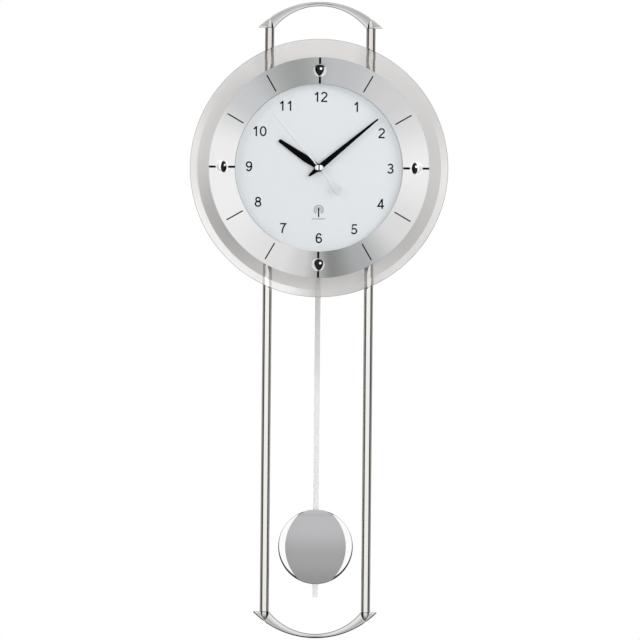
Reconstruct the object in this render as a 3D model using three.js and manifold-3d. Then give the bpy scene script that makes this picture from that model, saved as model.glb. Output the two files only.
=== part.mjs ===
// Radio-controlled pendulum wall clock: a bevelled glass disc on two long tubes, with a bow at
// each end, an aluminium hour ring on stand-offs, and a glass pendulum behind the tubes.
// Every piece is drawn as it is seen from the front: x to the right, y up, z out from the wall,
// in millimetres. The whole clock is then stood up, so that z points up and the front faces -Y,
// with its origin on the wall at the nail it hangs on.
import * as THREE from "three";
import { mergeVertices } from "three/addons/utils/BufferGeometryUtils.js";
import Module from "manifold-3d";

const wasm = await Module();
wasm.setup();

// Seat: the gap left between pieces that touch
const seat = 0.3;
const bossWall = 1.2;

// Glass disc
const glassDiameter = 284;
const glassThickness = 5;
const bevelWidth = 8;
const bevelDrop = 1.6;
const glassEdgeBreak = 0.5;

// Hour ring, its stand-offs and dome nuts
const ringOuterDiameter = 242.2;
const ringWidth = 29.2;
const ringThickness = 2;
const standoffLength = 12;
const standoffDiameter = 10;
const domeDiameter = 14;
const domeUndercut = 2.6;
const domeThreadDepth = 5;
const clampScrewDiameter = 3;
const clampHeadDiameter = 5.6;
const clampHeadHeight = 1.8;

// Dial
const dialThickness = 1.5;
const spacerThickness = 4.2;
const spacerSetback = 2.3;

// Tubes
const tubeDiameter = 10;
const tubeWall = 0.7;
const tubeSpacing = 111.5;
const frameTop = 154.4;
const frameBottom = 488.8;

// Bows
const bowOuterRise = 28.6;
const bowInnerRise = 24.2;
const bowTipReach = 12.4;
const bowInnerReach = 5.2;
const bowEdgeDepth = 2.6;
const bowFaceDepth = 3.1;
const bowCrestDepth = 5.1;
const bowBackDepth = 3.4;
const bowLipWidth = 1.3;
const bowLipHeight = 0.35;
const bowLipSlope = 0.4;
const bowCrownShare = 0.7;
const bowChamfer = 0.7;
const bowBossDiameter = 9.8;
const spigotLength = 12;
const spigotTaper = 0.9;

// Rear housing
const housingDepth = 48.6;
const housingWall = 2.5;
const housingFront = 3;
const clampBossDiameter = 11;
const clampBossHeight = 9.6;
const troughWall = 2;
const ribCount = 8;
const ribThickness = 1.6;
const ribHeight = 8;
const ribLength = 30;
const swingSlotWidth = 44;
const swingSlotDepth = 30;

// Hanger plate
const hangerInset = 24;
const hangerWidth = 56;
const hangerThickness = 1.5;
const hangerRecess = 3;
const hangerBelowNail = 19;
const hangerAboveNail = 6;
const hangerCorner = 3;
const keyholeHeadDiameter = 10;
const keyholeSlotWidth = 5;
const keyholeDrop = 9;
const hangerPostSpacing = 42;
const hangerPostDiameter = 8;
const hangerScrewDiameter = 2.6;
const hangerScrewLength = 9;
const hangerHeadDiameter = 5.4;
const hangerHeadHeight = 1.8;
const hangerHeadCrown = 0.4;
const screwPoint = 1;

// Movement case
const movementWidth = 58;
const movementHeight = 113;
const movementAbove = 28;
const movementDepth = 22;
const movementCorner = 3;
const caseWall = 1.5;
const coverThickness = 1.7;
const bushDiameter = 8;
const bushBore = 6;
const washerDiameter = 15;
const washerThickness = 0.8;
const nutAcrossFlats = 12;
const nutThickness = 3.2;
const bushStickOut = 0.6;

// Wheel train
const wheelThickness = 1.2;
const wheelGap = 0.6;
const arborDiameter = 1.2;
const pivotDiameter = 0.7;
const pivotLength = 0.8;
const hourTubeDiameter = 5.1;
const hourTubeBore = 3.9;
const minuteTubeDiameter = 3.2;
const minuteTubeBore = 1.9;
const secondShaftDiameter = 1.2;
const addendum = 0.85;
const pointedAddendum = 1;
const dedendum = 1.2;
const toothRootShare = 0.33;
const leafRootShare = 0.26;
const leafTipShare = 0.09;
const meshPlay = 0.1;
const pinionLeaves = 6;
const rotorModule = 0.3;
const intermediateTeeth = 30;
const secondsModule = 0.43;
const secondsTeeth = 36;
const thirdModule = 0.34;
const thirdTeeth = 45;
const centreTeeth = 48;
const cannonModule = 0.56;
const cannonTeeth = 8;
const minuteTeeth = 24;
const minutePinionTeeth = 6;
const hourTeeth = 24;
const thirdAngle = 210;
const intermediateAngle = 330;
const minuteAngle = 90;

// Motor
const rotorMagnetDiameter = 5.4;
const rotorMagnetHeight = 2.4;
const statorThickness = 1;
const coreWidth = 3;
const coilOuterDiameter = 6.4;
const coilBore = 3.8;
const coilLength = 15;
const bridgeThickness = 1;
const bridgePostDiameter = 3.2;
const pivotMargin = 1.8;
const statorRim = 1;
const statorArmWidth = 4;
const bridgePadRadius = 1.1;
const casePadRadius = 1.4;

// Battery, circuit board and antenna
const batteryDiameter = 14.5;
const batteryLength = 50.5;
const batteryEdge = 0.5;
const batteryFoot = 12;
const batteryRest = 0.95;
const nubDiameter = 5.5;
const nubLength = 1.2;
const contactThickness = 0.4;
const contactWidth = 9;
const doorEndGap = 0.5;
const doorSideGap = 0.4;
const boardWidth = 52;
const boardTopDrop = 25;
const boardFoot = 5.55;
const boardThickness = 1;
const boardStandOff = 3.8;
const boardPostInset = 3;
const boardPostRadius = 1.6;
const antennaHeight = 21;
const antennaSetback = 9.8;
const antennaDiameter = 8;
const antennaLength = 48;
const antennaCoilLength = 20;
const antennaCoilDiameter = 10.4;
const saddleInset = 5;
const saddleWidth = 3;
const saddleHeight = 6;
const cradleSpacing = 30;
const cradleWidth = 2;
const cradleHeight = 10;
const bayGap = 1;
const bayWall = 1.2;

// Push buttons on the movement
const buttonCapDiameter = 4.8;
const buttonFlangeDiameter = 6.6;
const buttonFlangeThickness = 0.8;
const buttonStemDiameter = 2.8;
const buttonTravel = 0.7;
const buttonStandOut = 1.5;
const buttonSpread = 19;
const buttonUpperDrop = 32;
const buttonLowerDrop = 46;

// Pendulum drive and pendulum
const pivotHeight = 12;
const pivotPinDiameter = 2;
const pivotPinHead = 4;
const pivotPinHeadHeight = 1;
const pivotPinSpare = 2;
const leaderThickness = 3;
const leaderHubDiameter = 8;
const leaderWidth = 7;
const leaderTaper = 0.8;
const leaderGap = 1.3;
const magnetDrop = 40;
const magnetDiameter = 8;
const magnetThickness = 2;
const magnetBossDiameter = 13;
const driveCoilOuter = 16;
const driveCoilBore = 6;
const driveCoilHeight = 2.8;
const hookDrop = 50;
const hookDiameter = 2.4;
const hookStandOut = 0.8;
const rodWidth = 6;
const rodThickness = 2;
const rodEndDrop = 474.1;
const bobDrop = 417.9;
const bobDiameter = 82.4;
const bobThickness = 3;
const bobEdgeBreak = 0.6;
const bobPlateHalfWidth = 33.5;
const bobPlateSideRadius = 50.5;
const bobPlateThickness = 1;
const clipThickness = 0.5;
const clipHeight = 22;
const clipFoot = 6;

// Hands
const handThickness = 0.6;
const handSpacing = 2.1;
const handClearance = 1.6;
const hourHandLength = 53.5;
const hourHandWidth = 7.9;
const hourHandWidest = 19;
const hourHandRoot = 5.4;
const hourHandTip = 3.6;
const minuteHandLength = 84;
const minuteHandRoot = 6.6;
const minuteHandTip = 1.8;
const minuteHandTail = 14.5;
const minuteHandTailTip = 2.5;
const secondHandLength = 78;
const secondHandWidth = 0.9;
const secondHandTail = 37;
const secondFlagStart = 15;
const secondFlagWidth = 8.6;
const secondHandThickness = 0.4;
const secondTipShare = 0.7;
const secondNeckShare = 1.6;
const secondFlagShoulder = 6;
const secondFlagSlant = 3;
const secondFlagEndShare = 0.8;
const capDiameter = 9;
const capHeight = 3;
const hourHandAngle = 304;
const minuteHandAngle = 50;
const secondHandAngle = 319.7;

// Stations that follow from the sizes above, as heights over the wall
const glassBack = housingDepth + seat;
const glassFront = glassBack + glassThickness;
const ringBack = glassFront + seat + standoffLength + seat;
const ringFront = ringBack + ringThickness;
const spacerFront = ringBack - seat;
const spacerBack = spacerFront - spacerThickness;
const dialFront = spacerBack - seat;
const dialBack = dialFront - dialThickness;
const domeBack = ringFront + seat;
const tubeDepth = housingDepth - seat - tubeDiameter / 2;
const caseFront = housingDepth - housingFront - seat;
const caseInside = caseFront - caseWall;
const caseBack = caseFront - movementDepth;
const coverInside = caseBack + coverThickness;
const boardBack = coverInside + boardStandOff;
const antennaDepth = caseInside - antennaSetback;
const batteryDepth = coverInside + batteryRest + batteryDiameter / 2;
const batteryDrop = movementHeight - movementAbove - batteryFoot;
const bayTop = -batteryDrop + batteryDiameter / 2 + bayGap + bayWall / 2;
const washerBack = glassFront + seat;
const nutBack = washerBack + washerThickness + seat;
const bushEnd = nutBack + nutThickness + bushStickOut;
const hourHandBack = dialFront + handClearance;
const minuteHandBack = hourHandBack + handSpacing;
const secondHandBack = minuteHandBack + handSpacing;
const capBack = secondHandBack + secondHandThickness + seat;
const leaderFront = caseBack - leaderGap;
const leaderBack = leaderFront - leaderThickness;
const rodFront = leaderBack - seat;
const rodBack = rodFront - rodThickness;
const bobBack = rodFront + seat;
const bobFront = bobBack + bobThickness;
const bobPlateBack = bobFront + seat;

// Radii that several pieces share
const ringOuterRadius = ringOuterDiameter / 2;
const ringInnerRadius = ringOuterRadius - ringWidth;
const clampRadius = ringOuterRadius - ringWidth / 2;
const housingRadius = clampRadius + clampBossDiameter / 2;
const hangingHeight = housingRadius - hangerInset;
const spacerInnerRadius = ringInnerRadius + seat;
const spacerOuterRadius = clampRadius - standoffDiameter / 2 - spacerSetback;
const clampHoleRadius = clampScrewDiameter / 2 + seat;
const bushHoleRadius = bushDiameter / 2 + seat;
const tubeX = tubeSpacing / 2;

// Facets on round pieces
const fineFacets = 64;
const plainFacets = 40;
const tubeFacets = 20;
const smallFacets = 12;
const tinyFacets = 8;
const cornerSteps = 2;
const weldDistance = 1e-4;

// Welds a geometry's vertices and makes it a solid that can be cut
function toSolid(geometry) {
  const bare = new THREE.BufferGeometry();
  bare.setAttribute("position", geometry.getAttribute("position").clone());
  if (geometry.index) bare.setIndex(geometry.index.clone());
  const welded = mergeVertices(bare, weldDistance);
  const corners = welded.index.array;
  const triangles = [];
  for (let i = 0; i < corners.length; i += 3) {
    const [a, b, c] = [corners[i], corners[i + 1], corners[i + 2]];
    if (a !== b && b !== c && c !== a) triangles.push(a, b, c);
  }
  return new wasm.Manifold(new wasm.Mesh({
    numProp: 3,
    vertProperties: new Float32Array(welded.getAttribute("position").array),
    triVerts: new Uint32Array(triangles),
  }));
}

// Turns a solid back into a geometry
function toGeometry(solid) {
  const mesh = solid.getMesh();
  const geometry = new THREE.BufferGeometry();
  const positions = new Float32Array(mesh.vertProperties);
  geometry.setAttribute("position", new THREE.BufferAttribute(positions, 3));
  geometry.setIndex(new THREE.BufferAttribute(new Uint32Array(mesh.triVerts), 1));
  geometry.computeVertexNormals();
  return geometry;
}

const join = (...pieces) => toGeometry(pieces.map(toSolid).reduce((a, b) => a.add(b)));
const cut = (body, ...tools) =>
  toGeometry(tools.map(toSolid).reduce((a, b) => a.subtract(b), toSolid(body)));
const common = (a, b) => toGeometry(toSolid(a).intersect(toSolid(b)));

const radians = THREE.MathUtils.degToRad;
const polar = (radius, degrees) => [
  radius * Math.cos(radians(degrees)),
  radius * Math.sin(radians(degrees)),
];
const clock = (radius, degrees) => polar(radius, 90 - degrees);

// A closed outline through the given points
function outline(points) {
  const shape = new THREE.Shape();
  points.forEach(([x, y], i) => (i ? shape.lineTo(x, y) : shape.moveTo(x, y)));
  shape.closePath();
  return shape;
}

// Points on an arc between two angles in degrees
function arc(x, y, radius, start, end, steps) {
  const points = [];
  for (let i = 0; i <= steps; i += 1) {
    const [dx, dy] = polar(radius, start + ((end - start) * i) / steps);
    points.push([x + dx, y + dy]);
  }
  return points;
}

const disc = (radius, x = 0, y = 0, facets = smallFacets) =>
  outline(arc(x, y, radius, 0, 360 - 360 / facets, facets - 1));

// A rectangle with round corners, centred on x, y
function plate(width, height, corner, x = 0, y = 0) {
  const right = x + width / 2 - corner;
  const left = x - width / 2 + corner;
  const top = y + height / 2 - corner;
  const bottom = y - height / 2 + corner;
  return outline([
    ...arc(right, bottom, corner, -90, 0, cornerSteps),
    ...arc(right, top, corner, 0, 90, cornerSteps),
    ...arc(left, top, corner, 90, 180, cornerSteps),
    ...arc(left, bottom, corner, 180, 270, cornerSteps),
  ]);
}

// A flat piece of the given outline between two heights over the wall
const slab = (shape, back, front) =>
  new THREE.ExtrudeGeometry(shape, { depth: front - back, bevelEnabled: false }).translate(0, 0, back);

// A turned piece: radius and height pairs, counter-clockwise, closed at the axis or on itself
function turned(profile, facets = smallFacets) {
  const points = profile.map(([radius, height]) => new THREE.Vector2(radius, height));
  return new THREE.LatheGeometry(points, facets).rotateX(Math.PI / 2);
}

// A plain turned pin between two heights, and a sleeve with a bore
const pin = (radius, back, front, facets = smallFacets) =>
  turned([[0, back], [radius, back], [radius, front], [0, front]], facets);
const sleeve = (inner, outer, back, front, facets = smallFacets) =>
  turned([[inner, back], [outer, back], [outer, front], [inner, front], [inner, back]], facets);

// A block between two corners
function block([left, bottom, back], [right, top, front]) {
  const size = [right - left, top - bottom, front - back];
  const middle = [(left + right) / 2, (bottom + top) / 2, (back + front) / 2];
  return new THREE.BoxGeometry(...size).translate(...middle);
}

const at = (geometry, x, y, z = 0) => geometry.translate(x, y, z);

const finish = (color, roughness, metalness) =>
  new THREE.MeshStandardMaterial({ color, roughness, metalness });
const clearGlass = finish(0xd8d4d0, 0.05, 0);
clearGlass.transparent = true;
clearGlass.opacity = 0.4;
const brushedAluminium = finish(0xd0d3d6, 0.35, 1);
const satinNickel = finish(0xc4c1bc, 0.35, 1);
const brightChrome = finish(0xe6e6e6, 0.08, 1);
const zincSteel = finish(0xb4b6b8, 0.4, 1);
const whitePrint = finish(0xe6eaec, 0.6, 0);
const blackLacquer = finish(0x0c0c0d, 0.35, 0);
const greyPlastic = finish(0x8d9092, 0.5, 0);
const blackPlastic = finish(0x1c1d1f, 0.5, 0);
const whitePlastic = finish(0xe9e7e0, 0.45, 0);
const brass = finish(0xc9a657, 0.3, 1);
const copper = finish(0xb4683c, 0.4, 1);
const ferrite = finish(0x2f2e2f, 0.7, 0);
const boardGreen = finish(0x2f6a45, 0.5, 0);
const batteryWrap = finish(0x3c6b8c, 0.35, 0.2);

const standing = new THREE.Group();
const front = new THREE.Group();
front.rotation.x = Math.PI / 2;
front.position.z = -hangingHeight;
standing.add(front);

// Adds a named piece, and places it where its own origin belongs
function add(name, geometry, material, position = [0, 0, 0], turn = 0, group = front) {
  const mesh = new THREE.Mesh(geometry, material);
  mesh.name = name;
  mesh.position.set(...position);
  mesh.rotation.z = turn;
  group.add(mesh);
  return mesh;
}

const quarters = [["12", 0], ["3", 90], ["6", 180], ["9", 270]];

// Rear housing: a moulded drum, open to the wall, with a trough for each tube
function rearHousing() {
  const inner = housingRadius - housingWall;
  const wallInside = housingDepth - housingFront;
  const drum = turned([
    [0, wallInside], [inner, wallInside], [inner, 0],
    [housingRadius, 0], [housingRadius, housingDepth], [0, housingDepth],
  ], fineFacets);
  const additions = [];
  const cuts = [pin(bushHoleRadius, wallInside - 1, housingDepth + 1)];
  const troughBack = tubeDepth - tubeDiameter / 2 - seat - troughWall;
  const troughHalf = tubeDiameter / 2 + seat + troughWall;
  const drumFill = pin(housingRadius - housingWall / 2, troughBack, wallInside + 1, fineFacets);
  for (const side of [-1, 1]) {
    const x = side * tubeX;
    const tall = housingRadius + 1;
    const body = block([x - troughHalf, -tall, troughBack - 1], [x + troughHalf, tall, housingDepth]);
    additions.push(common(body, drumFill));
    const grooveRadius = tubeDiameter / 2 + seat;
    const groove = new THREE.CylinderGeometry(grooveRadius, grooveRadius, 2 * tall, tubeFacets);
    cuts.push(at(groove, x, 0, tubeDepth));
    cuts.push(block([x - grooveRadius, -tall, tubeDepth], [x + grooveRadius, tall, housingDepth + 1]));
  }
  for (const [, angle] of quarters) {
    const [x, y] = clock(clampRadius, angle);
    const back = wallInside - clampBossHeight;
    additions.push(at(pin(clampBossDiameter / 2, back, wallInside + 1), x, y));
    cuts.push(at(pin(clampHoleRadius, back - 1, housingDepth + 1, tinyFacets), x, y));
  }
  for (let i = 0; i < ribCount; i += 1) {
    const angle = (i + 0.5) * (360 / ribCount);
    const outer = housingRadius - housingWall / 2;
    const rib = block(
      [outer - ribLength, -ribThickness / 2, wallInside - ribHeight],
      [outer, ribThickness / 2, wallInside + 1]);
    additions.push(rib.rotateZ(radians(angle)));
  }
  for (const side of [-1, 1]) {
    const x = side * hangerPostSpacing / 2;
    const back = hangerRecess + hangerThickness + seat;
    const holeDepth = back + hangerScrewLength + 1;
    additions.push(at(pin(hangerPostDiameter / 2, back, wallInside + 1), x, hangingHeight));
    cuts.push(at(pin(hangerScrewDiameter / 2 + seat, back - 1, holeDepth, tinyFacets),
      x, hangingHeight));
  }
  cuts.push(block(
    [-swingSlotWidth / 2, -housingRadius - 1, -1],
    [swingSlotWidth / 2, -housingRadius + 2 * housingWall, swingSlotDepth]));
  return cut(join(drum, ...additions), ...cuts);
}
add("rear_housing", rearHousing(), blackPlastic);

// Hanger plate: a steel strip with a keyhole, held by two screws
function keyhole() {
  const slot = keyholeSlotWidth / 2;
  const head = keyholeHeadDiameter / 2;
  const headCentre = hangingHeight - keyholeDrop;
  const spread = THREE.MathUtils.radToDeg(Math.asin(slot / head));
  return outline([
    ...arc(0, hangingHeight - slot, slot, 0, 180, 6),
    ...arc(0, headCentre, head, 90 + spread, 450 - spread, 12),
  ]);
}
function hangerPlate() {
  const height = hangerBelowNail + hangerAboveNail;
  const middle = hangingHeight + (hangerAboveNail - hangerBelowNail) / 2;
  const shape = plate(hangerWidth, height, hangerCorner, 0, middle);
  shape.holes.push(keyhole());
  for (const side of [-1, 1]) {
    const x = side * hangerPostSpacing / 2;
    shape.holes.push(disc(hangerScrewDiameter / 2 + seat, x, hangingHeight, tinyFacets));
  }
  return slab(shape, hangerRecess, hangerRecess + hangerThickness);
}
add("hanger_plate", hangerPlate(), zincSteel);

function hangerScrew() {
  const shank = hangerScrewDiameter / 2;
  const head = hangerHeadDiameter / 2;
  return turned([
    [0, -hangerHeadHeight], [head, -hangerHeadHeight * hangerHeadCrown], [head, 0], [shank, 0],
    [shank, hangerScrewLength - screwPoint], [0, hangerScrewLength],
  ], tinyFacets);
}
for (const [side, word] of [[-1, "left"], [1, "right"]]) {
  const place = [side * hangerPostSpacing / 2, hangingHeight, hangerRecess - seat];
  add(`hanger_screw_${word}`, hangerScrew(), zincSteel, place);
}

// Tubes: thin-walled, each running from bow to bow through its trough
for (const [side, word] of [[-1, "left"], [1, "right"]]) {
  const length = frameTop + frameBottom - 2 * seat;
  const tube = sleeve(tubeDiameter / 2 - tubeWall, tubeDiameter / 2, 0, length, tubeFacets);
  tube.rotateX(-Math.PI / 2);
  add(`${word}_tube`, tube, satinNickel, [side * tubeX, -frameBottom + seat, tubeDepth]);
}

// An arc of a given rise over a half chord, from -1 at one foot to 1 at the other
function archPoint(halfChord, rise, along) {
  const radius = (halfChord ** 2 + rise ** 2) / (2 * rise);
  const half = Math.asin(halfChord / radius);
  const angle = along * half;
  return [radius * Math.sin(angle), rise - radius + radius * Math.cos(angle)];
}

// Bows: die-cast crescents with a crowned face that climbs to the outer edge, a lip along the
// inner edge, a boss that runs out into the face above each tube, and a spigot in each tube
const bowStations = 20;
function bowSection(width, face) {
  const crest = bowFaceDepth + (bowCrestDepth - bowFaceDepth) * face;
  const climb = crest - bowFaceDepth;
  const lip = bowLipWidth;
  const span = width - lip - bowChamfer;
  return [
    [0, -bowBackDepth], [0, bowEdgeDepth],
    [lip * bowLipSlope, bowFaceDepth + bowLipHeight], [lip, bowFaceDepth + bowLipHeight],
    [lip, bowFaceDepth],
    [lip + span / 2, bowFaceDepth + climb * bowCrownShare], [lip + span, crest],
    [width, crest - bowChamfer], [width, -bowBackDepth],
  ];
}
function crescent() {
  const outerHalf = tubeX + bowTipReach;
  const innerHalf = tubeX - bowInnerReach;
  const footWidth = outerHalf - innerHalf;
  const corners = [];
  let rings = 0;
  for (let i = 0; i <= bowStations; i += 1) {
    const along = (2 * i) / bowStations - 1;
    const [ix, iy] = archPoint(innerHalf, bowInnerRise, along);
    const [ox, oy] = archPoint(outerHalf, bowOuterRise, along);
    const width = Math.hypot(ox - ix, oy - iy);
    const [ux, uy] = [(ox - ix) / width, (oy - iy) / width];
    const section = bowSection(width, Math.sqrt(width / footWidth));
    section.forEach(([u, depth]) => corners.push(ix + ux * u, iy + uy * u, depth));
    rings = section.length;
  }
  const faces = [];
  for (let i = 0; i < bowStations; i += 1) {
    for (let j = 0; j < rings; j += 1) {
      const [a, b] = [i * rings + j, i * rings + ((j + 1) % rings)];
      faces.push(a, a + rings, b, b, a + rings, b + rings);
    }
  }
  const footOutline = bowSection(footWidth, 1).map(([u, depth]) => new THREE.Vector2(u, depth));
  const foot = THREE.ShapeUtils.triangulateShape(footOutline, []);
  faces.push(...foot.flatMap(([a, b, c]) => [a, c, b]));
  const last = bowStations * rings;
  faces.push(...foot.flatMap(([a, b, c]) => [last + a, last + b, last + c]));
  const geometry = new THREE.BufferGeometry();
  geometry.setAttribute("position", new THREE.Float32BufferAttribute(corners, 3));
  geometry.setIndex(faces);
  return geometry;
}
function bow() {
  const outerHalf = tubeX + bowTipReach;
  const outerArc = [];
  for (let i = 0; i <= bowStations; i += 1) {
    outerArc.push(archPoint(outerHalf - bowChamfer, bowOuterRise - bowChamfer,
      1 - (2 * i) / bowStations));
  }
  const bounds = slab(outline(outerArc), -tubeDiameter, tubeDiameter);
  const pieces = [];
  for (const side of [-1, 1]) {
    const radius = bowBossDiameter / 2;
    const boss = new THREE.CylinderGeometry(radius, radius, bowOuterRise, smallFacets);
    at(boss, side * tubeX, bowOuterRise / 2);
    pieces.push(common(boss, bounds));
    const spigotRadius = tubeDiameter / 2 - tubeWall - seat;
    const height = spigotLength + 1;
    const spigot = new THREE.CylinderGeometry(spigotRadius, spigotRadius * spigotTaper, height, smallFacets);
    pieces.push(at(spigot, side * tubeX, (1 - spigotLength) / 2));
  }
  return join(crescent(), ...pieces);
}
const bowGeometry = bow();
add("top_bow", bowGeometry, satinNickel, [0, frameTop, tubeDepth]);
add("bottom_bow", bowGeometry, satinNickel, [0, -frameBottom, tubeDepth], Math.PI);

// Glass disc: bevelled on its front, bored for the movement's bush and four clamp screws
function glassDisc() {
  const radius = glassDiameter / 2;
  const rim = glassFront - bevelDrop;
  const broken = glassEdgeBreak;
  const body = turned([
    [0, glassBack], [radius - broken, glassBack], [radius, glassBack + broken],
    [radius, rim], [radius - bevelWidth, glassFront], [0, glassFront],
  ], fineFacets);
  const holes = quarters.map(([, angle]) => {
    const [x, y] = clock(clampRadius, angle);
    return at(pin(clampHoleRadius, glassBack - 1, glassFront + 1, tinyFacets), x, y);
  });
  return cut(body, pin(bushHoleRadius, glassBack - 1, glassFront + 1), ...holes);
}
add("glass_disc", glassDisc(), clearGlass);

// Hour ring on its four stand-offs, under four dome nuts, drawn up by screws from behind
function hourRing() {
  const body = sleeve(ringInnerRadius, ringOuterRadius, ringBack, ringFront, fineFacets);
  const holes = quarters.map(([, angle]) => {
    const [x, y] = clock(clampRadius, angle);
    return at(pin(clampHoleRadius, ringBack - 1, ringFront + 1, tinyFacets), x, y);
  });
  return cut(body, ...holes);
}
add("dial_ring", hourRing(), brushedAluminium);

const standoff = () => sleeve(clampHoleRadius, standoffDiameter / 2, 0, standoffLength);
const domeFacets = 16;
function domeNut() {
  const radius = domeDiameter / 2;
  const foot = THREE.MathUtils.radToDeg(Math.asin(domeUndercut / radius));
  const flank = arc(0, domeUndercut, radius, -foot, 90, 5).slice(0, -1);
  return turned([
    [0, domeThreadDepth], [clampHoleRadius, domeThreadDepth], [clampHoleRadius, 0],
    ...flank, [0, domeUndercut + radius],
  ], domeFacets);
}
function clampScrew() {
  const shank = clampScrewDiameter / 2;
  const head = clampHeadDiameter / 2;
  const headFront = housingDepth - housingFront - clampBossHeight - seat;
  const tip = domeBack + domeThreadDepth - seat;
  return turned([
    [0, headFront - clampHeadHeight], [head, headFront - clampHeadHeight], [head, headFront],
    [shank, headFront], [shank, tip], [0, tip],
  ], tinyFacets);
}
for (const [hour, angle] of quarters) {
  const [x, y] = clock(clampRadius, angle);
  add(`standoff_${hour}`, standoff(), brightChrome, [x, y, glassFront + seat]);
  add(`dome_nut_${hour}`, domeNut(), brightChrome, [x, y, domeBack]);
  add(`clamp_screw_${hour}`, clampScrew(), zincSteel, [x, y, 0]);
}

// Dial and the spacer that hangs it behind the ring
const spacer = sleeve(spacerInnerRadius, spacerOuterRadius, spacerBack, spacerFront, plainFacets);
add("dial_spacer", spacer, greyPlastic);
const dialShape = disc(spacerOuterRadius, 0, 0, plainFacets);
dialShape.holes.push(disc(bushHoleRadius + seat));
add("dial_plate", slab(dialShape, dialBack, dialFront), whitePrint);

// Washer and nut that clamp the movement's bush through housing and glass
const washer = sleeve(bushHoleRadius, washerDiameter / 2, washerBack, washerBack + washerThickness);
add("fixing_washer", washer, zincSteel);
function fixingNut() {
  const corner = nutAcrossFlats / Math.sqrt(3);
  const hexagon = outline([0, 1, 2, 3, 4, 5].map((side) => polar(corner, 60 * side)));
  hexagon.holes.push(disc(bushHoleRadius));
  return slab(hexagon, nutBack, nutBack + nutThickness);
}
add("fixing_nut", fixingNut(), brass);

// Wheel train. A wheel's teeth come to a point and a pinion's leaves are blunt, with backlash
// between them. A wheel has a gap towards its mate and a pinion has a leaf there, so that every
// pair is in mesh at rest. A tooth is given in modules from the pitch circle and shares of a pitch.
const wheelTooth = [[-dedendum, -toothRootShare], [pointedAddendum, 0], [-dedendum, toothRootShare]];
const pinionLeaf = [
  [-dedendum, -leafRootShare], [addendum, -leafTipShare],
  [addendum, leafTipShare], [-dedendum, leafRootShare],
];
function toothed(teeth, module, degrees, tooth) {
  const points = [];
  for (let i = 0; i < teeth; i += 1) {
    for (const [height, share] of tooth) {
      const radius = (teeth / 2 + height) * module;
      points.push(polar(radius, degrees + ((i + share) * 360) / teeth));
    }
  }
  return outline(points);
}
const wheel = (teeth, module, mate) => toothed(teeth, module, mate + 180 / teeth, wheelTooth);
const pinion = (teeth, module, mate) => toothed(teeth, module, mate, pinionLeaf);

// Planes of the train, counted back from the case's front wall
const planePitch = wheelThickness + wheelGap;
const planeFront = (plane) => caseInside - seat - plane * planePitch;
const planeBack = (plane) => planeFront(plane) - wheelThickness;
const onPlane = (shape, plane) => slab(shape, planeBack(plane), planeFront(plane));
const ahead = (shape, plane) => slab(shape, planeFront(plane), planeFront(plane) + planePitch);

const pinionModule = (thirdModule * (pinionLeaves + thirdTeeth)) / (pinionLeaves + centreTeeth);
const motionModule =
  (cannonModule * (cannonTeeth + minuteTeeth)) / (minutePinionTeeth + hourTeeth);
const meshDistance = (module, leaves, teeth) => (module * (leaves + teeth)) / 2 + meshPlay;
const thirdDistance = meshDistance(thirdModule, pinionLeaves, thirdTeeth);
const intermediateDistance = meshDistance(secondsModule, pinionLeaves, secondsTeeth);
const rotorDistance = meshDistance(rotorModule, pinionLeaves, intermediateTeeth);
const minuteDistance = meshDistance(cannonModule, cannonTeeth, minuteTeeth);
const thirdAxis = polar(thirdDistance, thirdAngle);
const intermediateAxis = polar(intermediateDistance, intermediateAngle);
const rotorAxis = polar(intermediateDistance + rotorDistance, intermediateAngle);
const minuteAxis = polar(minuteDistance, minuteAngle);
const bridgeFront = planeBack(5) - wheelGap;
const bridgeBack = bridgeFront - bridgeThickness;

// An arbor with a pivot at its front, in the case, and one at its back, in the bridge
function arbor(front = caseInside - seat) {
  const body = arborDiameter / 2;
  const pivot = pivotDiameter / 2;
  return turned([
    [0, bridgeFront - pivotLength], [pivot, bridgeFront - pivotLength],
    [pivot, bridgeFront + seat], [body, bridgeFront + seat], [body, front],
    [pivot, front], [pivot, front + pivotLength], [0, front + pivotLength],
  ], tinyFacets);
}
const pivotHole = (x, y) =>
  at(pin(pivotDiameter / 2 + seat, bridgeBack - 1, caseInside + pivotLength + seat, tinyFacets), x, y);

function hourWheel() {
  const top = hourHandBack + handThickness + seat;
  const bore = hourTubeBore / 2;
  const body = join(
    onPlane(wheel(hourTeeth, motionModule, minuteAngle), 0),
    pin(hourTubeDiameter / 2, planeBack(0), top));
  return cut(body, pin(bore, planeBack(0) - 1, top + 1));
}
function centreWheel() {
  const top = minuteHandBack + handThickness + seat;
  const body = join(
    onPlane(wheel(centreTeeth, pinionModule, thirdAngle), 2),
    ahead(pinion(cannonTeeth, cannonModule, minuteAngle), 2),
    pin(minuteTubeDiameter / 2, planeBack(2), top));
  return cut(body, pin(minuteTubeBore / 2, planeBack(2) - 1, top + 1, tinyFacets));
}
function secondsWheel() {
  const shaft = secondShaftDiameter / 2;
  const pivot = pivotDiameter / 2;
  const top = secondHandBack + secondHandThickness;
  return join(
    onPlane(wheel(secondsTeeth, secondsModule, intermediateAngle), 4),
    ahead(pinion(pinionLeaves, thirdModule, thirdAngle), 4),
    turned([
      [0, bridgeFront - pivotLength], [pivot, bridgeFront - pivotLength],
      [pivot, bridgeFront + seat], [shaft, bridgeFront + seat], [shaft, top], [0, top],
    ], tinyFacets));
}
add("hour_wheel", hourWheel(), whitePlastic);
add("centre_wheel", centreWheel(), whitePlastic);
add("seconds_wheel", secondsWheel(), whitePlastic);

const thirdWheel = join(
  onPlane(wheel(thirdTeeth, thirdModule, thirdAngle + 180), 3),
  ahead(pinion(pinionLeaves, pinionModule, thirdAngle + 180), 3),
  arbor());
add("third_wheel", thirdWheel, whitePlastic, [...thirdAxis, 0]);

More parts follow.
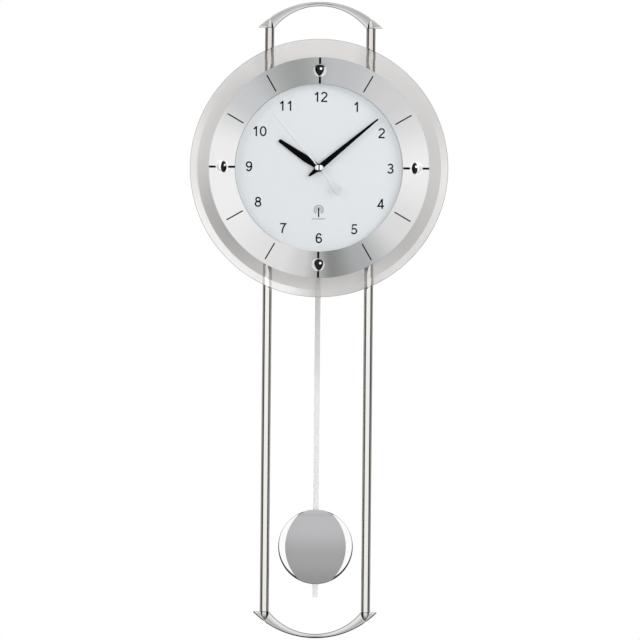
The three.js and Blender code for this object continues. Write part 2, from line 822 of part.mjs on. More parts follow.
const minuteWheel = join(
  onPlane(wheel(minuteTeeth, cannonModule, minuteAngle + 180), 1),
  ahead(pinion(minutePinionTeeth, motionModule, minuteAngle + 180), 1),
  arbor());
add("minute_wheel", minuteWheel, whitePlastic, [...minuteAxis, 0]);

const intermediateWheel = join(
  onPlane(wheel(intermediateTeeth, rotorModule, intermediateAngle), 5),
  ahead(pinion(pinionLeaves, secondsModule, intermediateAngle + 180), 5),
  arbor());
add("intermediate_wheel", intermediateWheel, whitePlastic, [...intermediateAxis, 0]);

// Rotor: its magnet turns in the stator behind the bridge, its pinion in front of it
const magnetFront = bridgeBack - seat;
const magnetBack = magnetFront - rotorMagnetHeight;
function rotor() {
  const body = arborDiameter / 2;
  const pivot = pivotDiameter / 2;
  const top = caseInside - seat;
  return join(
    onPlane(pinion(pinionLeaves, rotorModule, intermediateAngle + 180), 5),
    pin(rotorMagnetDiameter / 2, magnetBack, magnetFront),
    turned([
      [0, magnetBack - seat], [pivot, magnetBack - seat], [body, magnetBack],
      [body, top], [pivot, top], [pivot, top + pivotLength], [0, top + pivotLength],
    ], tinyFacets));
}
add("rotor", rotor(), zincSteel, [...rotorAxis, 0]);

// Stator: one lamination round the rotor, closed through the coil
const statorFront = magnetFront - (rotorMagnetHeight - statorThickness) / 2;
const statorBack = statorFront - statorThickness;
const windowLeft = rotorAxis[0] - coilLength / 2 - seat;
const windowRight = rotorAxis[0] + coilLength / 2 + seat;
const rotorHole = rotorMagnetDiameter / 2 + 2 * seat;
const windowTop = rotorAxis[1] - rotorHole - statorRim;
const windowBottom = windowTop - coilOuterDiameter / 2 - seat;
const coreHeight = windowBottom - coreWidth / 2;
const statorLeft = windowLeft - statorArmWidth;
const statorRight = windowRight + statorArmWidth;
const statorTop = rotorAxis[1] + rotorHole + statorRim;
function stator() {
  const shape = outline([
    [statorLeft, windowBottom - coreWidth], [statorRight, windowBottom - coreWidth],
    [statorRight, statorTop], [statorLeft, statorTop],
  ]);
  const coilWindow = outline([
    [windowLeft, windowBottom], [windowRight, windowBottom],
    [windowRight, windowTop], [windowLeft, windowTop],
  ]);
  shape.holes.push(coilWindow, disc(rotorHole, ...rotorAxis));
  return slab(shape, statorBack, statorFront);
}
add("stator", stator(), zincSteel);

function motorCoil() {
  const winding = sleeve(coilBore / 2, coilOuterDiameter / 2, -coilLength / 2, coilLength / 2);
  return winding.rotateY(Math.PI / 2);
}
add("motor_coil", motorCoil(), copper,
  [rotorAxis[0], coreHeight, (statorFront + statorBack) / 2]);

// Bridge: the back plate of the train, on three posts, with a pad under the stator
const postSide = bridgePostDiameter / 2 + pivotMargin;
const postReach = rotorAxis[0] + 1;
const postTop = minuteAxis[1] - 1;
const postFoot = windowBottom + coreWidth;
const bridgePosts = [[-postReach, postTop], [postReach, postTop], [0, -postReach]];
const statorPads = [
  [statorLeft + statorArmWidth / 2, windowTop],
  [statorRight - statorArmWidth / 2, rotorAxis[1]],
];
function trainBridge() {
  const edge = postReach + postSide;
  const shape = outline([
    [-edge, postTop + postSide], [-edge, thirdAxis[1]], [-postSide, -edge], [postSide, -edge],
    [postSide, postFoot], [edge, postFoot], [edge, postTop + postSide],
    [postSide, minuteAxis[1] + 2 * pivotMargin], [-postSide, minuteAxis[1] + 2 * pivotMargin],
  ]);
  const plateSolid = slab(shape, bridgeBack, bridgeFront);
  const axes = [[0, 0], thirdAxis, minuteAxis, intermediateAxis];
  const rotorClear = at(pin(arborDiameter / 2 + seat, bridgeBack - 1, bridgeFront + 1, tinyFacets),
    ...rotorAxis);
  const [padX, padY] = statorPads[0];
  const pad = at(
    pin(bridgePadRadius, statorFront + seat, bridgeFront - bridgeThickness / 2, tinyFacets),
    padX, padY);
  const holes = axes.map(([x, y]) => pivotHole(x, y));
  return cut(join(plateSolid, pad), ...holes, rotorClear);
}
add("train_bridge", trainBridge(), blackPlastic);

// Drive coil of the pendulum, on its own post in the case
const driveSeat = coverInside + seat + driveCoilHeight + seat;
const driveCoil = sleeve(driveCoilBore / 2, driveCoilOuter / 2, coverInside + seat,
  coverInside + seat + driveCoilHeight);
add("pendulum_coil", driveCoil, copper, [0, -magnetDrop, 0]);

// Circuit board, with a hole for the drive coil's post
const boardTop = -boardTopDrop;
const boardBottom = bayTop + bayWall / 2 + boardFoot;
const boardPostX = boardWidth / 2 - boardPostInset;
const boardPosts = [[-boardPostX, boardTop - boardPostInset], [boardPostX, boardBottom + boardPostInset]];
const drivePostRadius = driveCoilBore / 2 + 2;
function circuitBoard() {
  const shape = plate(boardWidth, boardTop - boardBottom, 1, 0, (boardTop + boardBottom) / 2);
  shape.holes.push(disc(drivePostRadius + seat, 0, -magnetDrop));
  return slab(shape, boardBack, boardBack + boardThickness);
}
add("circuit_board", circuitBoard(), boardGreen);

// Antenna: a ferrite rod in its winding, across the top of the case
const antennaRod = sleeveAlongX(0, antennaDiameter / 2, antennaLength);
const antennaCoil = sleeveAlongX(antennaDiameter / 2 + seat, antennaCoilDiameter / 2, antennaCoilLength);
function sleeveAlongX(inner, outer, length) {
  const [back, front] = [-length / 2, length / 2];
  const round = inner ? sleeve(inner, outer, back, front) : pin(outer, back, front);
  return round.rotateY(Math.PI / 2);
}
add("ferrite_antenna", antennaRod, ferrite, [0, antennaHeight, antennaDepth]);
add("antenna_coil", antennaCoil, copper, [0, antennaHeight, antennaDepth]);

// Battery between a flat contact and a bowed spring contact
const caseHalf = movementWidth / 2 - caseWall;
const plusFace = caseHalf - seat - contactThickness;
const batteryRight = plusFace - seat;
function battery() {
  const radius = batteryDiameter / 2;
  const body = batteryLength - nubLength;
  const can = turned([
    [0, 0], [radius - batteryEdge, 0], [radius, batteryEdge], [radius, body - batteryEdge],
    [radius - batteryEdge, body],
    [nubDiameter / 2, body], [nubDiameter / 2, batteryLength], [0, batteryLength],
  ]);
  return can.rotateY(Math.PI / 2);
}
add("battery", battery(), batteryWrap, [batteryRight - batteryLength, -batteryDrop, batteryDepth]);

const contactHalf = contactWidth / 2;
const contactBack = batteryDepth - contactHalf;
const contactFront = batteryDepth + contactHalf;
const plusContact = block(
  [plusFace, -batteryDrop - contactHalf, contactBack],
  [plusFace + contactThickness, -batteryDrop + contactHalf, contactFront]);
add("battery_contact_plus", plusContact, zincSteel);

function minusContact() {
  const wallFace = -caseHalf + seat;
  const reach = batteryRight - batteryLength - seat - wallFace;
  const leaf = [];
  const steps = 8;
  for (let i = 0; i <= steps; i += 1) {
    leaf.push(archPoint(contactHalf, reach, (2 * i) / steps - 1));
  }
  for (let i = steps; i >= 0; i -= 1) {
    leaf.push(archPoint(contactHalf - contactThickness, reach - contactThickness, (2 * i) / steps - 1));
  }
  const strip = outline(leaf.map(([along, rise]) => [rise, along]).reverse());
  return at(slab(strip, contactBack, contactFront), wallFace, -batteryDrop);
}
add("battery_contact_minus", minusContact(), zincSteel);

// Movement case: a moulded tray with the bush on its front and posts inside
const bracket = (x, width, y, height, back, front) =>
  block([x - width / 2, y - height / 2, back], [x + width / 2, y + height / 2, front]);
function movementCase() {
  const middle = movementAbove - movementHeight / 2;
  const rear = coverInside + seat;
  const shellOuter = plate(movementWidth, movementHeight, movementCorner, 0, middle);
  const innerWidth = movementWidth - 2 * caseWall;
  const innerHeight = movementHeight - 2 * caseWall;
  const shellInner = plate(innerWidth, innerHeight, movementCorner / 2, 0, middle);
  const tray = cut(
    slab(shellOuter, rear, caseFront),
    slab(shellInner, rear - 1, caseInside));
  const root = caseInside + caseWall / 2;
  const additions = [pin(bushDiameter / 2, root, bushEnd)];
  for (const [x, y] of bridgePosts) {
    additions.push(at(pin(bridgePostDiameter / 2, bridgeFront + seat, root, tinyFacets), x, y));
  }
  const [padX, padY] = statorPads[1];
  additions.push(at(pin(casePadRadius, statorFront + seat, root, tinyFacets), padX, padY));
  for (const [x, y] of boardPosts) {
    additions.push(at(pin(boardPostRadius, boardBack + boardThickness + seat, root, tinyFacets), x, y));
  }
  additions.push(at(turned([
    [0, coverInside + seat * 2], [driveCoilBore / 2 - seat, coverInside + seat * 2],
    [driveCoilBore / 2 - seat, driveSeat], [drivePostRadius, driveSeat], [drivePostRadius, root],
    [0, root],
  ]), 0, -magnetDrop));
  const saddle = antennaDepth + antennaDiameter / 2 + seat;
  const cradle = batteryDepth + batteryDiameter / 2 + seat;
  for (const side of [-1, 1]) {
    additions.push(bracket(side * (antennaLength / 2 - saddleInset), saddleWidth,
      antennaHeight, saddleHeight, saddle, root));
    additions.push(bracket(side * cradleSpacing / 2, cradleWidth,
      -batteryDrop, cradleHeight, cradle, root));
  }
  additions.push(bracket(0, 2 * caseHalf + caseWall / 2, bayTop, bayWall, rear, root));
  const cuts = [
    pin(bushBore / 2, caseInside - 1, bushEnd + 1),
    ...[thirdAxis, minuteAxis, intermediateAxis, rotorAxis].map(([x, y]) => pivotHole(x, y)),
  ];
  return cut(join(tray, ...additions), ...cuts);
}
add("movement_case", movementCase(), blackPlastic);

// Back cover of the movement: battery door opening, button holes and the pendulum's pin
const buttonPlaces = [
  ["set_button", -buttonSpread, -buttonUpperDrop],
  ["receive_button", buttonSpread, -buttonUpperDrop],
  ["reset_button", buttonSpread, -buttonLowerDrop],
];
function movementCover() {
  const middle = movementAbove - movementHeight / 2;
  const shape = plate(movementWidth, movementHeight, movementCorner, 0, middle);
  const doorWidth = batteryLength + 2 * doorEndGap;
  const doorHeight = batteryDiameter + 2 * doorSideGap;
  shape.holes.push(plate(doorWidth, doorHeight, 1, 0, -batteryDrop));
  for (const [, x, y] of buttonPlaces) {
    shape.holes.push(disc(buttonCapDiameter / 2 + seat, x, y));
  }
  shape.holes.push(disc(pivotPinDiameter / 2 + seat, 0, pivotHeight));
  return slab(shape, caseBack, coverInside);
}
add("movement_cover", movementCover(), blackPlastic);

// Push buttons: each has a flange inside the cover and a stem over its switch on the board
function pushButton() {
  const flangeBack = coverInside + seat;
  const flangeFront = flangeBack + buttonFlangeThickness;
  const stemEnd = boardBack - buttonTravel - seat;
  const capBackFace = caseBack - buttonStandOut;
  const capRadius = buttonCapDiameter / 2;
  return turned([
    [0, capBackFace], [capRadius, capBackFace], [capRadius, flangeBack],
    [buttonFlangeDiameter / 2, flangeBack],
    [buttonFlangeDiameter / 2, flangeFront], [buttonStemDiameter / 2, flangeFront],
    [buttonStemDiameter / 2, stemEnd], [0, stemEnd],
  ]);
}
for (const [name, x, y] of buttonPlaces) {
  add(name, pushButton(), greyPlastic, [x, y, 0]);
}

// Pendulum: pin, leader with its drive magnet, rod, glass bob, metal plate and spring clip
const pinHeadBack = leaderBack - seat - pivotPinSpare - pivotPinHeadHeight;
const pivotPin = turned([
  [0, pinHeadBack], [pivotPinHead / 2, pinHeadBack],
  [pivotPinHead / 2, pinHeadBack + pivotPinHeadHeight],
  [pivotPinDiameter / 2, pinHeadBack + pivotPinHeadHeight],
  [pivotPinDiameter / 2, coverInside], [0, coverInside],
]);
add("pivot_pin", pivotPin, zincSteel, [0, pivotHeight, 0]);

function leader() {
  const arm = leaderWidth / 2;
  const flat = slab(outline([
    [-arm, -hookDrop - arm], [arm, -hookDrop - arm],
    [arm * leaderTaper, pivotHeight], [-arm * leaderTaper, pivotHeight],
  ]), leaderBack, leaderFront);
  const hub = at(pin(leaderHubDiameter / 2, leaderBack, leaderFront), 0, pivotHeight);
  const magnetBoss = at(pin(magnetBossDiameter / 2, leaderBack, leaderFront), 0, -magnetDrop);
  const hook = at(pin(hookDiameter / 2, rodBack - hookStandOut, leaderBack + 1), 0, -hookDrop);
  const bore = at(pin(pivotPinDiameter / 2 + seat, leaderBack - 1, leaderFront + 1), 0, pivotHeight);
  const pocketBack = leaderFront - magnetThickness - seat;
  const pocket = at(pin(magnetDiameter / 2 + seat, pocketBack, leaderFront + 1), 0, -magnetDrop);
  return cut(join(flat, hub, magnetBoss, hook), bore, pocket);
}
add("pendulum_leader", leader(), whitePlastic);

const driveMagnet = pin(magnetDiameter / 2, leaderFront - magnetThickness, leaderFront);
add("drive_magnet", driveMagnet, zincSteel, [0, -magnetDrop, 0]);

function pendulumRod() {
  const half = rodWidth / 2;
  const shape = outline([
    ...arc(0, -hookDrop, half, 0, 180, 8),
    ...arc(0, -rodEndDrop + half, half, 180, 360, 8),
  ]);
  shape.holes.push(disc(hookDiameter / 2 + seat, 0, -hookDrop));
  return slab(shape, rodBack, rodFront);
}
add("pendulum_rod", pendulumRod(), clearGlass);

function bobDisc() {
  const radius = bobDiameter / 2;
  const broken = bobEdgeBreak;
  return turned([
    [0, bobBack], [radius - broken, bobBack], [radius, bobBack + broken],
    [radius, bobFront - broken], [radius - broken, bobFront], [0, bobFront],
  ], plainFacets);
}
add("bob_disc", bobDisc(), clearGlass, [0, -bobDrop, 0]);

// The plate's ends follow the glass and its sides are flatter arcs
function bobPlate() {
  const end = bobDiameter / 2 - bobEdgeBreak;
  const side = bobPlateSideRadius;
  const offset = side - bobPlateHalfWidth;
  const cornerX = (side ** 2 - end ** 2 - offset ** 2) / (2 * offset);
  const cornerY = Math.sqrt(end ** 2 - cornerX ** 2);
  const sideHalf = THREE.MathUtils.radToDeg(Math.atan2(cornerY, cornerX + offset));
  const endStart = THREE.MathUtils.radToDeg(Math.atan2(cornerY, cornerX));
  const [sideSteps, endSteps] = [12, 8];
  const right = arc(-offset, 0, side, -sideHalf, sideHalf, sideSteps);
  const top = arc(0, 0, end, endStart, 180 - endStart, endSteps).slice(1, -1);
  const half = [...right, ...top];
  const shape = outline([...half, ...half.map(([x, y]) => [-x, -y])]);
  return slab(shape, bobPlateBack, bobPlateBack + bobPlateThickness);
}
add("bob_plate", bobPlate(), satinNickel, [0, -bobDrop, 0]);

function bobClip() {
  const inner = rodWidth / 2 + seat;
  const outer = inner + clipThickness;
  const foot = bobBack - seat;
  const floor = rodBack - seat;
  const profile = outline([
    [-outer - clipFoot, foot], [-outer - clipFoot, foot - clipThickness], [-outer, foot - clipThickness],
    [-outer, floor - clipThickness], [outer, floor - clipThickness], [outer, foot - clipThickness],
    [outer + clipFoot, foot - clipThickness], [outer + clipFoot, foot], [inner, foot],
    [inner, floor], [-inner, floor], [-inner, foot],
  ]);
  return slab(profile, -clipHeight / 2, clipHeight / 2).rotateX(Math.PI / 2);
}
add("bob_clip", bobClip(), zincSteel, [0, -bobDrop, 0]);

// Hands, each pressed on its own tube, at eight minutes past ten
const handTip = (halfWidth, reach) => arc(0, reach - halfWidth, halfWidth, 0, 180, 6);
function hub(shape, boreRadius, hubRadius, back, thickness) {
  const blade = slab(shape, back, back + thickness);
  const boss = pin(hubRadius, back, back + thickness);
  return cut(join(blade, boss), pin(boreRadius, back - 1, back + thickness + 1));
}
function hourHand() {
  const shape = outline([
    [-hourHandRoot / 2, 0], [hourHandRoot / 2, 0], [hourHandWidth / 2, hourHandWidest],
    ...handTip(hourHandTip / 2, hourHandLength), [-hourHandWidth / 2, hourHandWidest],
  ]);
  const bore = hourTubeDiameter / 2 + seat;
  return hub(shape, bore, bore + bossWall, hourHandBack, handThickness);
}
function minuteHand() {
  const tail = minuteHandTailTip / 2;
  const shape = outline([
    [minuteHandRoot / 2, 0], ...handTip(minuteHandTip / 2, minuteHandLength),
    [-minuteHandRoot / 2, 0], ...arc(0, -minuteHandTail + tail, tail, 180, 360, 6),
  ]);
  const bore = minuteTubeDiameter / 2 + seat;
  return hub(shape, bore, bore + bossWall, minuteHandBack, handThickness);
}
function secondHand() {
  const half = secondHandWidth / 2;
  const flag = secondFlagWidth / 2;
  const shape = outline([
    [half, 0], [half * secondTipShare, secondHandLength],
    [-half * secondTipShare, secondHandLength], [-half, 0],
    [-half * secondNeckShare, -secondFlagStart], [-flag, -secondHandTail + secondFlagShoulder],
    [-flag * secondFlagEndShare, -secondHandTail], [flag, -secondHandTail + secondFlagSlant],
    [half * secondNeckShare, -secondFlagStart],
  ]);
  const bore = secondShaftDiameter / 2 + seat;
  return hub(shape, bore, bore + bossWall, secondHandBack, secondHandThickness);
}
add("hour_hand", hourHand(), blackLacquer, [0, 0, 0], radians(-hourHandAngle));
add("minute_hand", minuteHand(), blackLacquer, [0, 0, 0], radians(-minuteHandAngle));
add("second_hand", secondHand(), brushedAluminium, [0, 0, 0], radians(-secondHandAngle));

// Cap over the hands' centre, carried by the second hand
function handCap() {
  const radius = capDiameter / 2;
  const flank = arc(0, 0, 1, 0, 90, 5).slice(0, -1);
  const profile = [[0, 0], ...flank.map(([x, y]) => [x * radius, y * capHeight]), [0, capHeight]];
  return turned(profile, domeFacets);
}
add("hand_cap", handCap(), brightChrome, [0, 0, capBack]);

export default standing;
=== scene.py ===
import math

import bmesh
import bpy
from mathutils import Matrix, Vector


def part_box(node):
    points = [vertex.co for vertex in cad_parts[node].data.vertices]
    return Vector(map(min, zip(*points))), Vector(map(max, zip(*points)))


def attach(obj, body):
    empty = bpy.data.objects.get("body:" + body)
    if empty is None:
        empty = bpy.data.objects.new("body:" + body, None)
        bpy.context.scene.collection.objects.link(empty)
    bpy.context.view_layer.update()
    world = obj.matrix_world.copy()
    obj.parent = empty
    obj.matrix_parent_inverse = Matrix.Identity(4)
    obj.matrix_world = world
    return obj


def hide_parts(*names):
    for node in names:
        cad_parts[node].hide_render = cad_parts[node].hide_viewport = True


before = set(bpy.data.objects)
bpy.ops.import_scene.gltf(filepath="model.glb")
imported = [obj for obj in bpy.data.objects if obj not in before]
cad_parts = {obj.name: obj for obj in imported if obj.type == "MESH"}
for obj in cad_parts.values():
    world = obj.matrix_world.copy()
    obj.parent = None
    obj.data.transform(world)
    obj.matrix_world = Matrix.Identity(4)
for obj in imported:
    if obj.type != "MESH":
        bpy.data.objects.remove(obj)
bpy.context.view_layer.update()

# The room: a pale wall that the clock hangs on and a pale floor below it, in light from a small
# lamp high in front and two large soft lamps at the upper left and upper right. The camera stands
# square on, six metres from the glass, and is turned by half a degree as the photograph is.
scene = bpy.context.scene
scene.view_settings.view_transform = "Standard"
camera_distance = 6.0
picture_height = 0.704
sensor_width = 36.0
camera_roll = math.radians(0.55)
picture_centre = Vector((0.00262, -0.05, -0.2551))


def add_object(name, data):
    added = bpy.data.objects.new(name, data)
    scene.collection.objects.link(added)
    return added


camera_data = bpy.data.cameras.new("camera")
camera_data.sensor_width = sensor_width
camera_data.lens = sensor_width * camera_distance / picture_height
camera = add_object("camera", camera_data)
standpoint = Matrix.Translation(picture_centre + Vector((0, -camera_distance, 0)))
facing_wall = Matrix.Rotation(math.pi / 2, 4, "X") @ Matrix.Rotation(camera_roll, 4, "Z")
camera.matrix_world = standpoint @ facing_wall
scene.camera = camera


def lay_sheet(name, corners, material):
    mesh = bpy.data.meshes.new(name)
    mesh.from_pydata(corners, [], [(0, 1, 2, 3)])
    mesh.materials.append(material)
    add_object(name, mesh)


def rgba(tone):
    return (tone, tone, tone, 1) if isinstance(tone, (int, float)) else (*tone, 1)


def feed(tree, socket, value):
    if isinstance(value, bpy.types.NodeSocket):
        tree.links.new(value, socket)
    else:
        socket.default_value = value


def add_node(tree, kind, inputs=None, **settings):
    node = tree.nodes.new(kind)
    for setting, value in settings.items():
        setattr(node, setting, value)
    for socket, value in (inputs or {}).items():
        feed(tree, node.inputs[socket], value)
    return node


def output_of(tree, kind, inputs=None, result=0, **settings):
    return add_node(tree, kind, inputs, **settings).outputs[result]


def compute(tree, operation, *values):
    return output_of(tree, "ShaderNodeMath", dict(enumerate(values)), operation=operation)


def vector_math(tree, operation, *values, result=0):
    return output_of(tree, "ShaderNodeVectorMath", dict(enumerate(values)), result, operation=operation)


def hypotenuse(tree, across, upward):
    squares = [compute(tree, "MULTIPLY", side, side) for side in (across, upward)]
    return compute(tree, "SQRT", compute(tree, "ADD", *squares))


def split(tree, vector):
    return add_node(tree, "ShaderNodeSeparateXYZ", {0: vector}).outputs


def spread(tree, value, low, high, start=0, end=1, **settings):
    return output_of(tree, "ShaderNodeMapRange", {
        "Value": value, "From Min": low, "From Max": high, "To Min": start, "To Max": end}, **settings)


def mix_shaders(tree, share, first, second):
    return output_of(tree, "ShaderNodeMixShader", {0: share, 1: first, 2: second})


def mix_colours(tree, share, first, second):
    ends = [end if isinstance(end, bpy.types.NodeSocket) else rgba(end) for end in (first, second)]
    return output_of(tree, "ShaderNodeMix", {"Factor": share, "A": ends[0], "B": ends[1]}, "Result",
                     data_type="RGBA")


def ramp(tree, share, stops, interpolation="EASE"):
    node = add_node(tree, "ShaderNodeValToRGB", {0: share})
    node.color_ramp.interpolation = interpolation
    while len(node.color_ramp.elements) < len(stops):
        node.color_ramp.elements.new(0.5)
    for element, (position, tone) in zip(node.color_ramp.elements, stops):
        element.position = position
        element.color = rgba(tone)
    return node.outputs["Color"]


def coordinate(tree, space="Object"):
    node = tree.nodes.get("Texture Coordinate") or tree.nodes.new("ShaderNodeTexCoord")
    return node.outputs[space]


def ray_kinds(tree):
    return add_node(tree, "ShaderNodeLightPath").outputs


def new_tree(name, kind, inputs, outputs):
    tree = bpy.data.node_groups.new(name, kind)
    for in_out, sockets in (("INPUT", inputs), ("OUTPUT", outputs)):
        for label, sort, *value in sockets:
            socket = tree.interface.new_socket(label, in_out=in_out, socket_type="NodeSocket" + sort)
            if value:
                socket.default_value = value[0]
    return tree, tree.nodes.new("NodeGroupInput").outputs, tree.nodes.new("NodeGroupOutput").inputs


hanging_height = 88.0


def polar_group():
    tree, given, result = new_tree(
        "dial_polar", "ShaderNodeTree", [("Place", "Vector"), ("Stretch", "Float", 1.0)],
        [("Clock", "Float"), ("Radius", "Float"), ("Around", "Vector")])
    axes = split(tree, given["Place"])
    height = compute(tree, "ADD", axes["Z"], hanging_height / 1000)
    angle = compute(tree, "ARCTAN2", axes["X"], height)
    radius = hypotenuse(tree, axes["X"], height)
    curved = compute(tree, "MULTIPLY", angle, given["Stretch"])
    feed(tree, result["Clock"], compute(tree, "MULTIPLY_ADD", angle, 0.5 / math.pi, 0.5))
    feed(tree, result["Radius"], radius)
    feed(tree, result["Around"], output_of(tree, "ShaderNodeCombineXYZ", {
        "X": radius, "Y": curved, "Z": axes["Y"]}))
    return tree


dial_polar = polar_group()


def polar_of(tree, stretch=1.0):
    return add_node(tree, "ShaderNodeGroup", {
        "Place": coordinate(tree), "Stretch": stretch}, node_tree=dial_polar).outputs


def by_hour(stops):
    return [((hour - 6) / 12, tone) for hour, tone in stops]


def tinted(tone, tint):
    return [tone * share for share in tint]


def bare_material(name):
    material = bpy.data.materials.new(name)
    material.use_nodes = True
    material.node_tree.nodes.clear()
    return material, material.node_tree


def put_on(tree, surface):
    add_node(tree, "ShaderNodeOutputMaterial", {"Surface": surface})


# Light and shade painted on the wall behind the glass, hour by hour round the dial's centre
wall_tint = (1.0, 0.99, 0.982)
painted_wall_light = [(6.0, 0.35), (6.5, 0.37), (7.9, 0.19), (9.5, 0.45), (10.6, 0.4), (12.0, 0.48),
              (13.5, 0.37), (14.9, 0.305), (16.3, 0.18), (17.3, 0.3), (18.0, 0.35)]
wall_matt = (0.5, 0.496, 0.492)
wall_in_mirrors = 0.3
light_ends = 0.25
light_full = 0.2


def wall_paint():
    material, tree = bare_material("wall_paint")
    rays = ray_kinds(tree)
    backfacing = output_of(tree, "ShaderNodeNewGeometry", result="Backfacing")
    bright = output_of(tree, "ShaderNodeEmission")
    dim = output_of(tree, "ShaderNodeEmission", {"Strength": wall_in_mirrors})
    clear = output_of(tree, "ShaderNodeBsdfTransparent")
    matt = output_of(tree, "ShaderNodeBsdfDiffuse", {"Color": rgba(wall_matt)})
    polar = polar_of(tree)
    # Seen through the glass, the wall shows the lamps' real shadows plus painted light and shade by the
    # hour
    painted_light_by_hour = ramp(tree, polar["Clock"], by_hour([(hour, tinted(tone, wall_tint))
                                                 for hour, tone in painted_wall_light]))
    painted_light_glow = output_of(tree, "ShaderNodeEmission", {"Color": painted_light_by_hour})
    lit = output_of(tree, "ShaderNodeAddShader", {0: matt, 1: painted_light_glow})
    near_head = spread(tree, polar["Radius"], light_ends, light_full)
    backdrop = mix_shaders(tree, near_head, bright, lit)
    mirrored = mix_shaders(tree, rays["Is Glossy Ray"], clear, dim)
    plain = mix_shaders(tree, rays["Is Camera Ray"], mirrored, bright)
    behind_glass = mix_shaders(tree, rays["Is Transmission Ray"], plain, backdrop)
    put_on(tree, mix_shaders(tree, backfacing, behind_glass, clear))
    return material


floor_z = -0.76
floor_tone = 0.82
floor_in_mirrors = (0.85, 0.05)
side_light = (0.7, 0.84)


def floor_paint():
    material, tree = bare_material("floor_paint")
    pale = output_of(tree, "ShaderNodeBsdfDiffuse", {"Color": rgba(floor_tone)})
    flat = vector_math(tree, "MULTIPLY", coordinate(tree), (1, 1, 0))
    towards = split(tree, vector_math(tree, "NORMALIZE", flat))
    shadow = spread(tree, compute(tree, "ABSOLUTE", towards["X"]), *side_light, *floor_in_mirrors)
    dim = output_of(tree, "ShaderNodeEmission", {"Strength": shadow})
    put_on(tree, mix_shaders(tree, ray_kinds(tree)["Is Glossy Ray"], pale, dim))
    return material


wall_y = 0.0004
room_half = 3.0
lay_sheet("wall", [
    (-room_half, wall_y, floor_z), (room_half, wall_y, floor_z),
    (room_half, wall_y, room_half), (-room_half, wall_y, room_half)], wall_paint())
lay_sheet("floor", [
    (-room_half, -room_half, floor_z), (room_half, -room_half, floor_z),
    (room_half, room_half, floor_z), (-room_half, room_half, floor_z)], floor_paint())

lamps = [("key", 11, 6, 0.42, 8.0), ("left", -50, 25, 1.0, 5.5), ("right", 50, 25, 1.0, 10.0)]
lamp_aim = Matrix.Translation((0, 0, -0.2))
lamp_distance = Matrix.Translation((0, 0, 2.0))
sky_tone = 0.4
sky_in_mirrors = 0.98
sky_dark_side = (0.06, 0.056, 0.052)
for word, turn, lift, width, power in lamps:
    lamp_data = bpy.data.lights.new("lamp_" + word, "AREA")
    lamp_data.size = width
    lamp_data.energy = power
    lamp = add_object("lamp_" + word, lamp_data)
    sideways = Matrix.Rotation(math.radians(turn), 4, "Z")
    upwards = Matrix.Rotation(math.radians(90 - lift), 4, "X")
    lamp.matrix_world = lamp_aim @ sideways @ upwards @ lamp_distance
    lamp.visible_glossy = False
    lamp.visible_transmission = False

world = bpy.data.worlds.new("studio")
scene.world = world
world.use_nodes = True
sky = world.node_tree
sky.nodes.clear()
sky_rays = ray_kinds(sky)
sky_axes = split(sky, coordinate(sky, "Generated"))
side_dark = ramp(sky, compute(sky, "ABSOLUTE", sky_axes["X"]),
                 [(side_light[0], sky_in_mirrors), (side_light[1], sky_dark_side)], "LINEAR")
room_light = mix_colours(sky, sky_rays["Is Glossy Ray"], sky_tone, side_dark)
towards_wall = compute(sky, "GREATER_THAN", sky_axes["Y"], 0.0)
through_glass = compute(sky, "MULTIPLY", sky_rays["Is Transmission Ray"], towards_wall)
seen_white = compute(sky, "MAXIMUM", sky_rays["Is Camera Ray"], through_glass)
backdrop_light = mix_colours(sky, seen_white, room_light, 1)
background = output_of(sky, "ShaderNodeBackground", {"Color": backdrop_light})
add_node(sky, "ShaderNodeOutputWorld", {"Surface": background})

# Rear housing: a drum moulded in dark grey plastic, open to the wall, with ribs, bosses and a
# trough for each tube. It has a fine spark-eroded grain outside and in.
upright = Matrix.Rotation(math.pi / 2, 4, "X") @ Matrix.Scale(0.001, 4)
standing = Matrix.Translation((0, 0, -hanging_height / 1000)) @ upright


def grain_group():
    tree, given, result = new_tree("surface_grain", "ShaderNodeTree", [
        ("Place", "Vector"), ("Colour", "Color"), ("Roughness", "Float", 0.5),
        ("Scale", "Float", 1000.0), ("Shade Change", "Float", 0.1), ("Roughness Change", "Float", 0.1),
        ("Relief", "Float", 0.00001)],
        [("Colour", "Color"), ("Roughness", "Float"), ("Normal", "Vector")])
    noise = output_of(tree, "ShaderNodeTexNoise", {
        "Vector": given["Place"], "Scale": given["Scale"], "Detail": 4})
    centred = compute(tree, "SUBTRACT", noise, 0.5)
    shade = compute(tree, "MULTIPLY_ADD", centred, given["Shade Change"], 1.0)
    feed(tree, result["Colour"], output_of(tree, "ShaderNodeVectorMath", {
        0: given["Colour"], "Scale": shade}, operation="SCALE"))
    feed(tree, result["Roughness"], compute(
        tree, "MULTIPLY_ADD", centred, given["Roughness Change"], given["Roughness"]))
    feed(tree, result["Normal"], output_of(tree, "ShaderNodeBump", {
        "Height": noise, "Distance": given["Relief"]}))
    return tree


surface_grain = grain_group()


def set_shader(tree, values):
    for socket, value in values.items():
        feed(tree, tree.nodes["Principled BSDF"].inputs[socket], value)


# The grain's relief is given in thousandths of a millimetre
def worked_material(name, colour, roughness, metallic=0.0, scale=1500, shade=0.15, rub=0.1, relief=10,
                    stretch=(1, 1, 1), settings=None):
    material = bpy.data.materials.new(name)
    material.use_nodes = True
    tree = material.node_tree
    place = output_of(tree, "ShaderNodeMapping", {"Vector": coordinate(tree), "Scale": stretch})
    grain = add_node(tree, "ShaderNodeGroup", {
        "Place": place, "Colour": rgba(colour), "Roughness": roughness, "Scale": scale,
        "Shade Change": shade, "Roughness Change": rub, "Relief": relief / 1e6},
        node_tree=surface_grain, name="grain").outputs
    set_shader(tree, {"Metallic": metallic, "Base Color": grain["Colour"],
                      "Roughness": grain["Roughness"], "Normal": grain["Normal"]})
    set_shader(tree, settings or {})
    return material


def shade_by_angle(mesh, degrees):
    mesh.shade_smooth()
    mesh.set_sharp_from_angle(angle=math.radians(degrees))


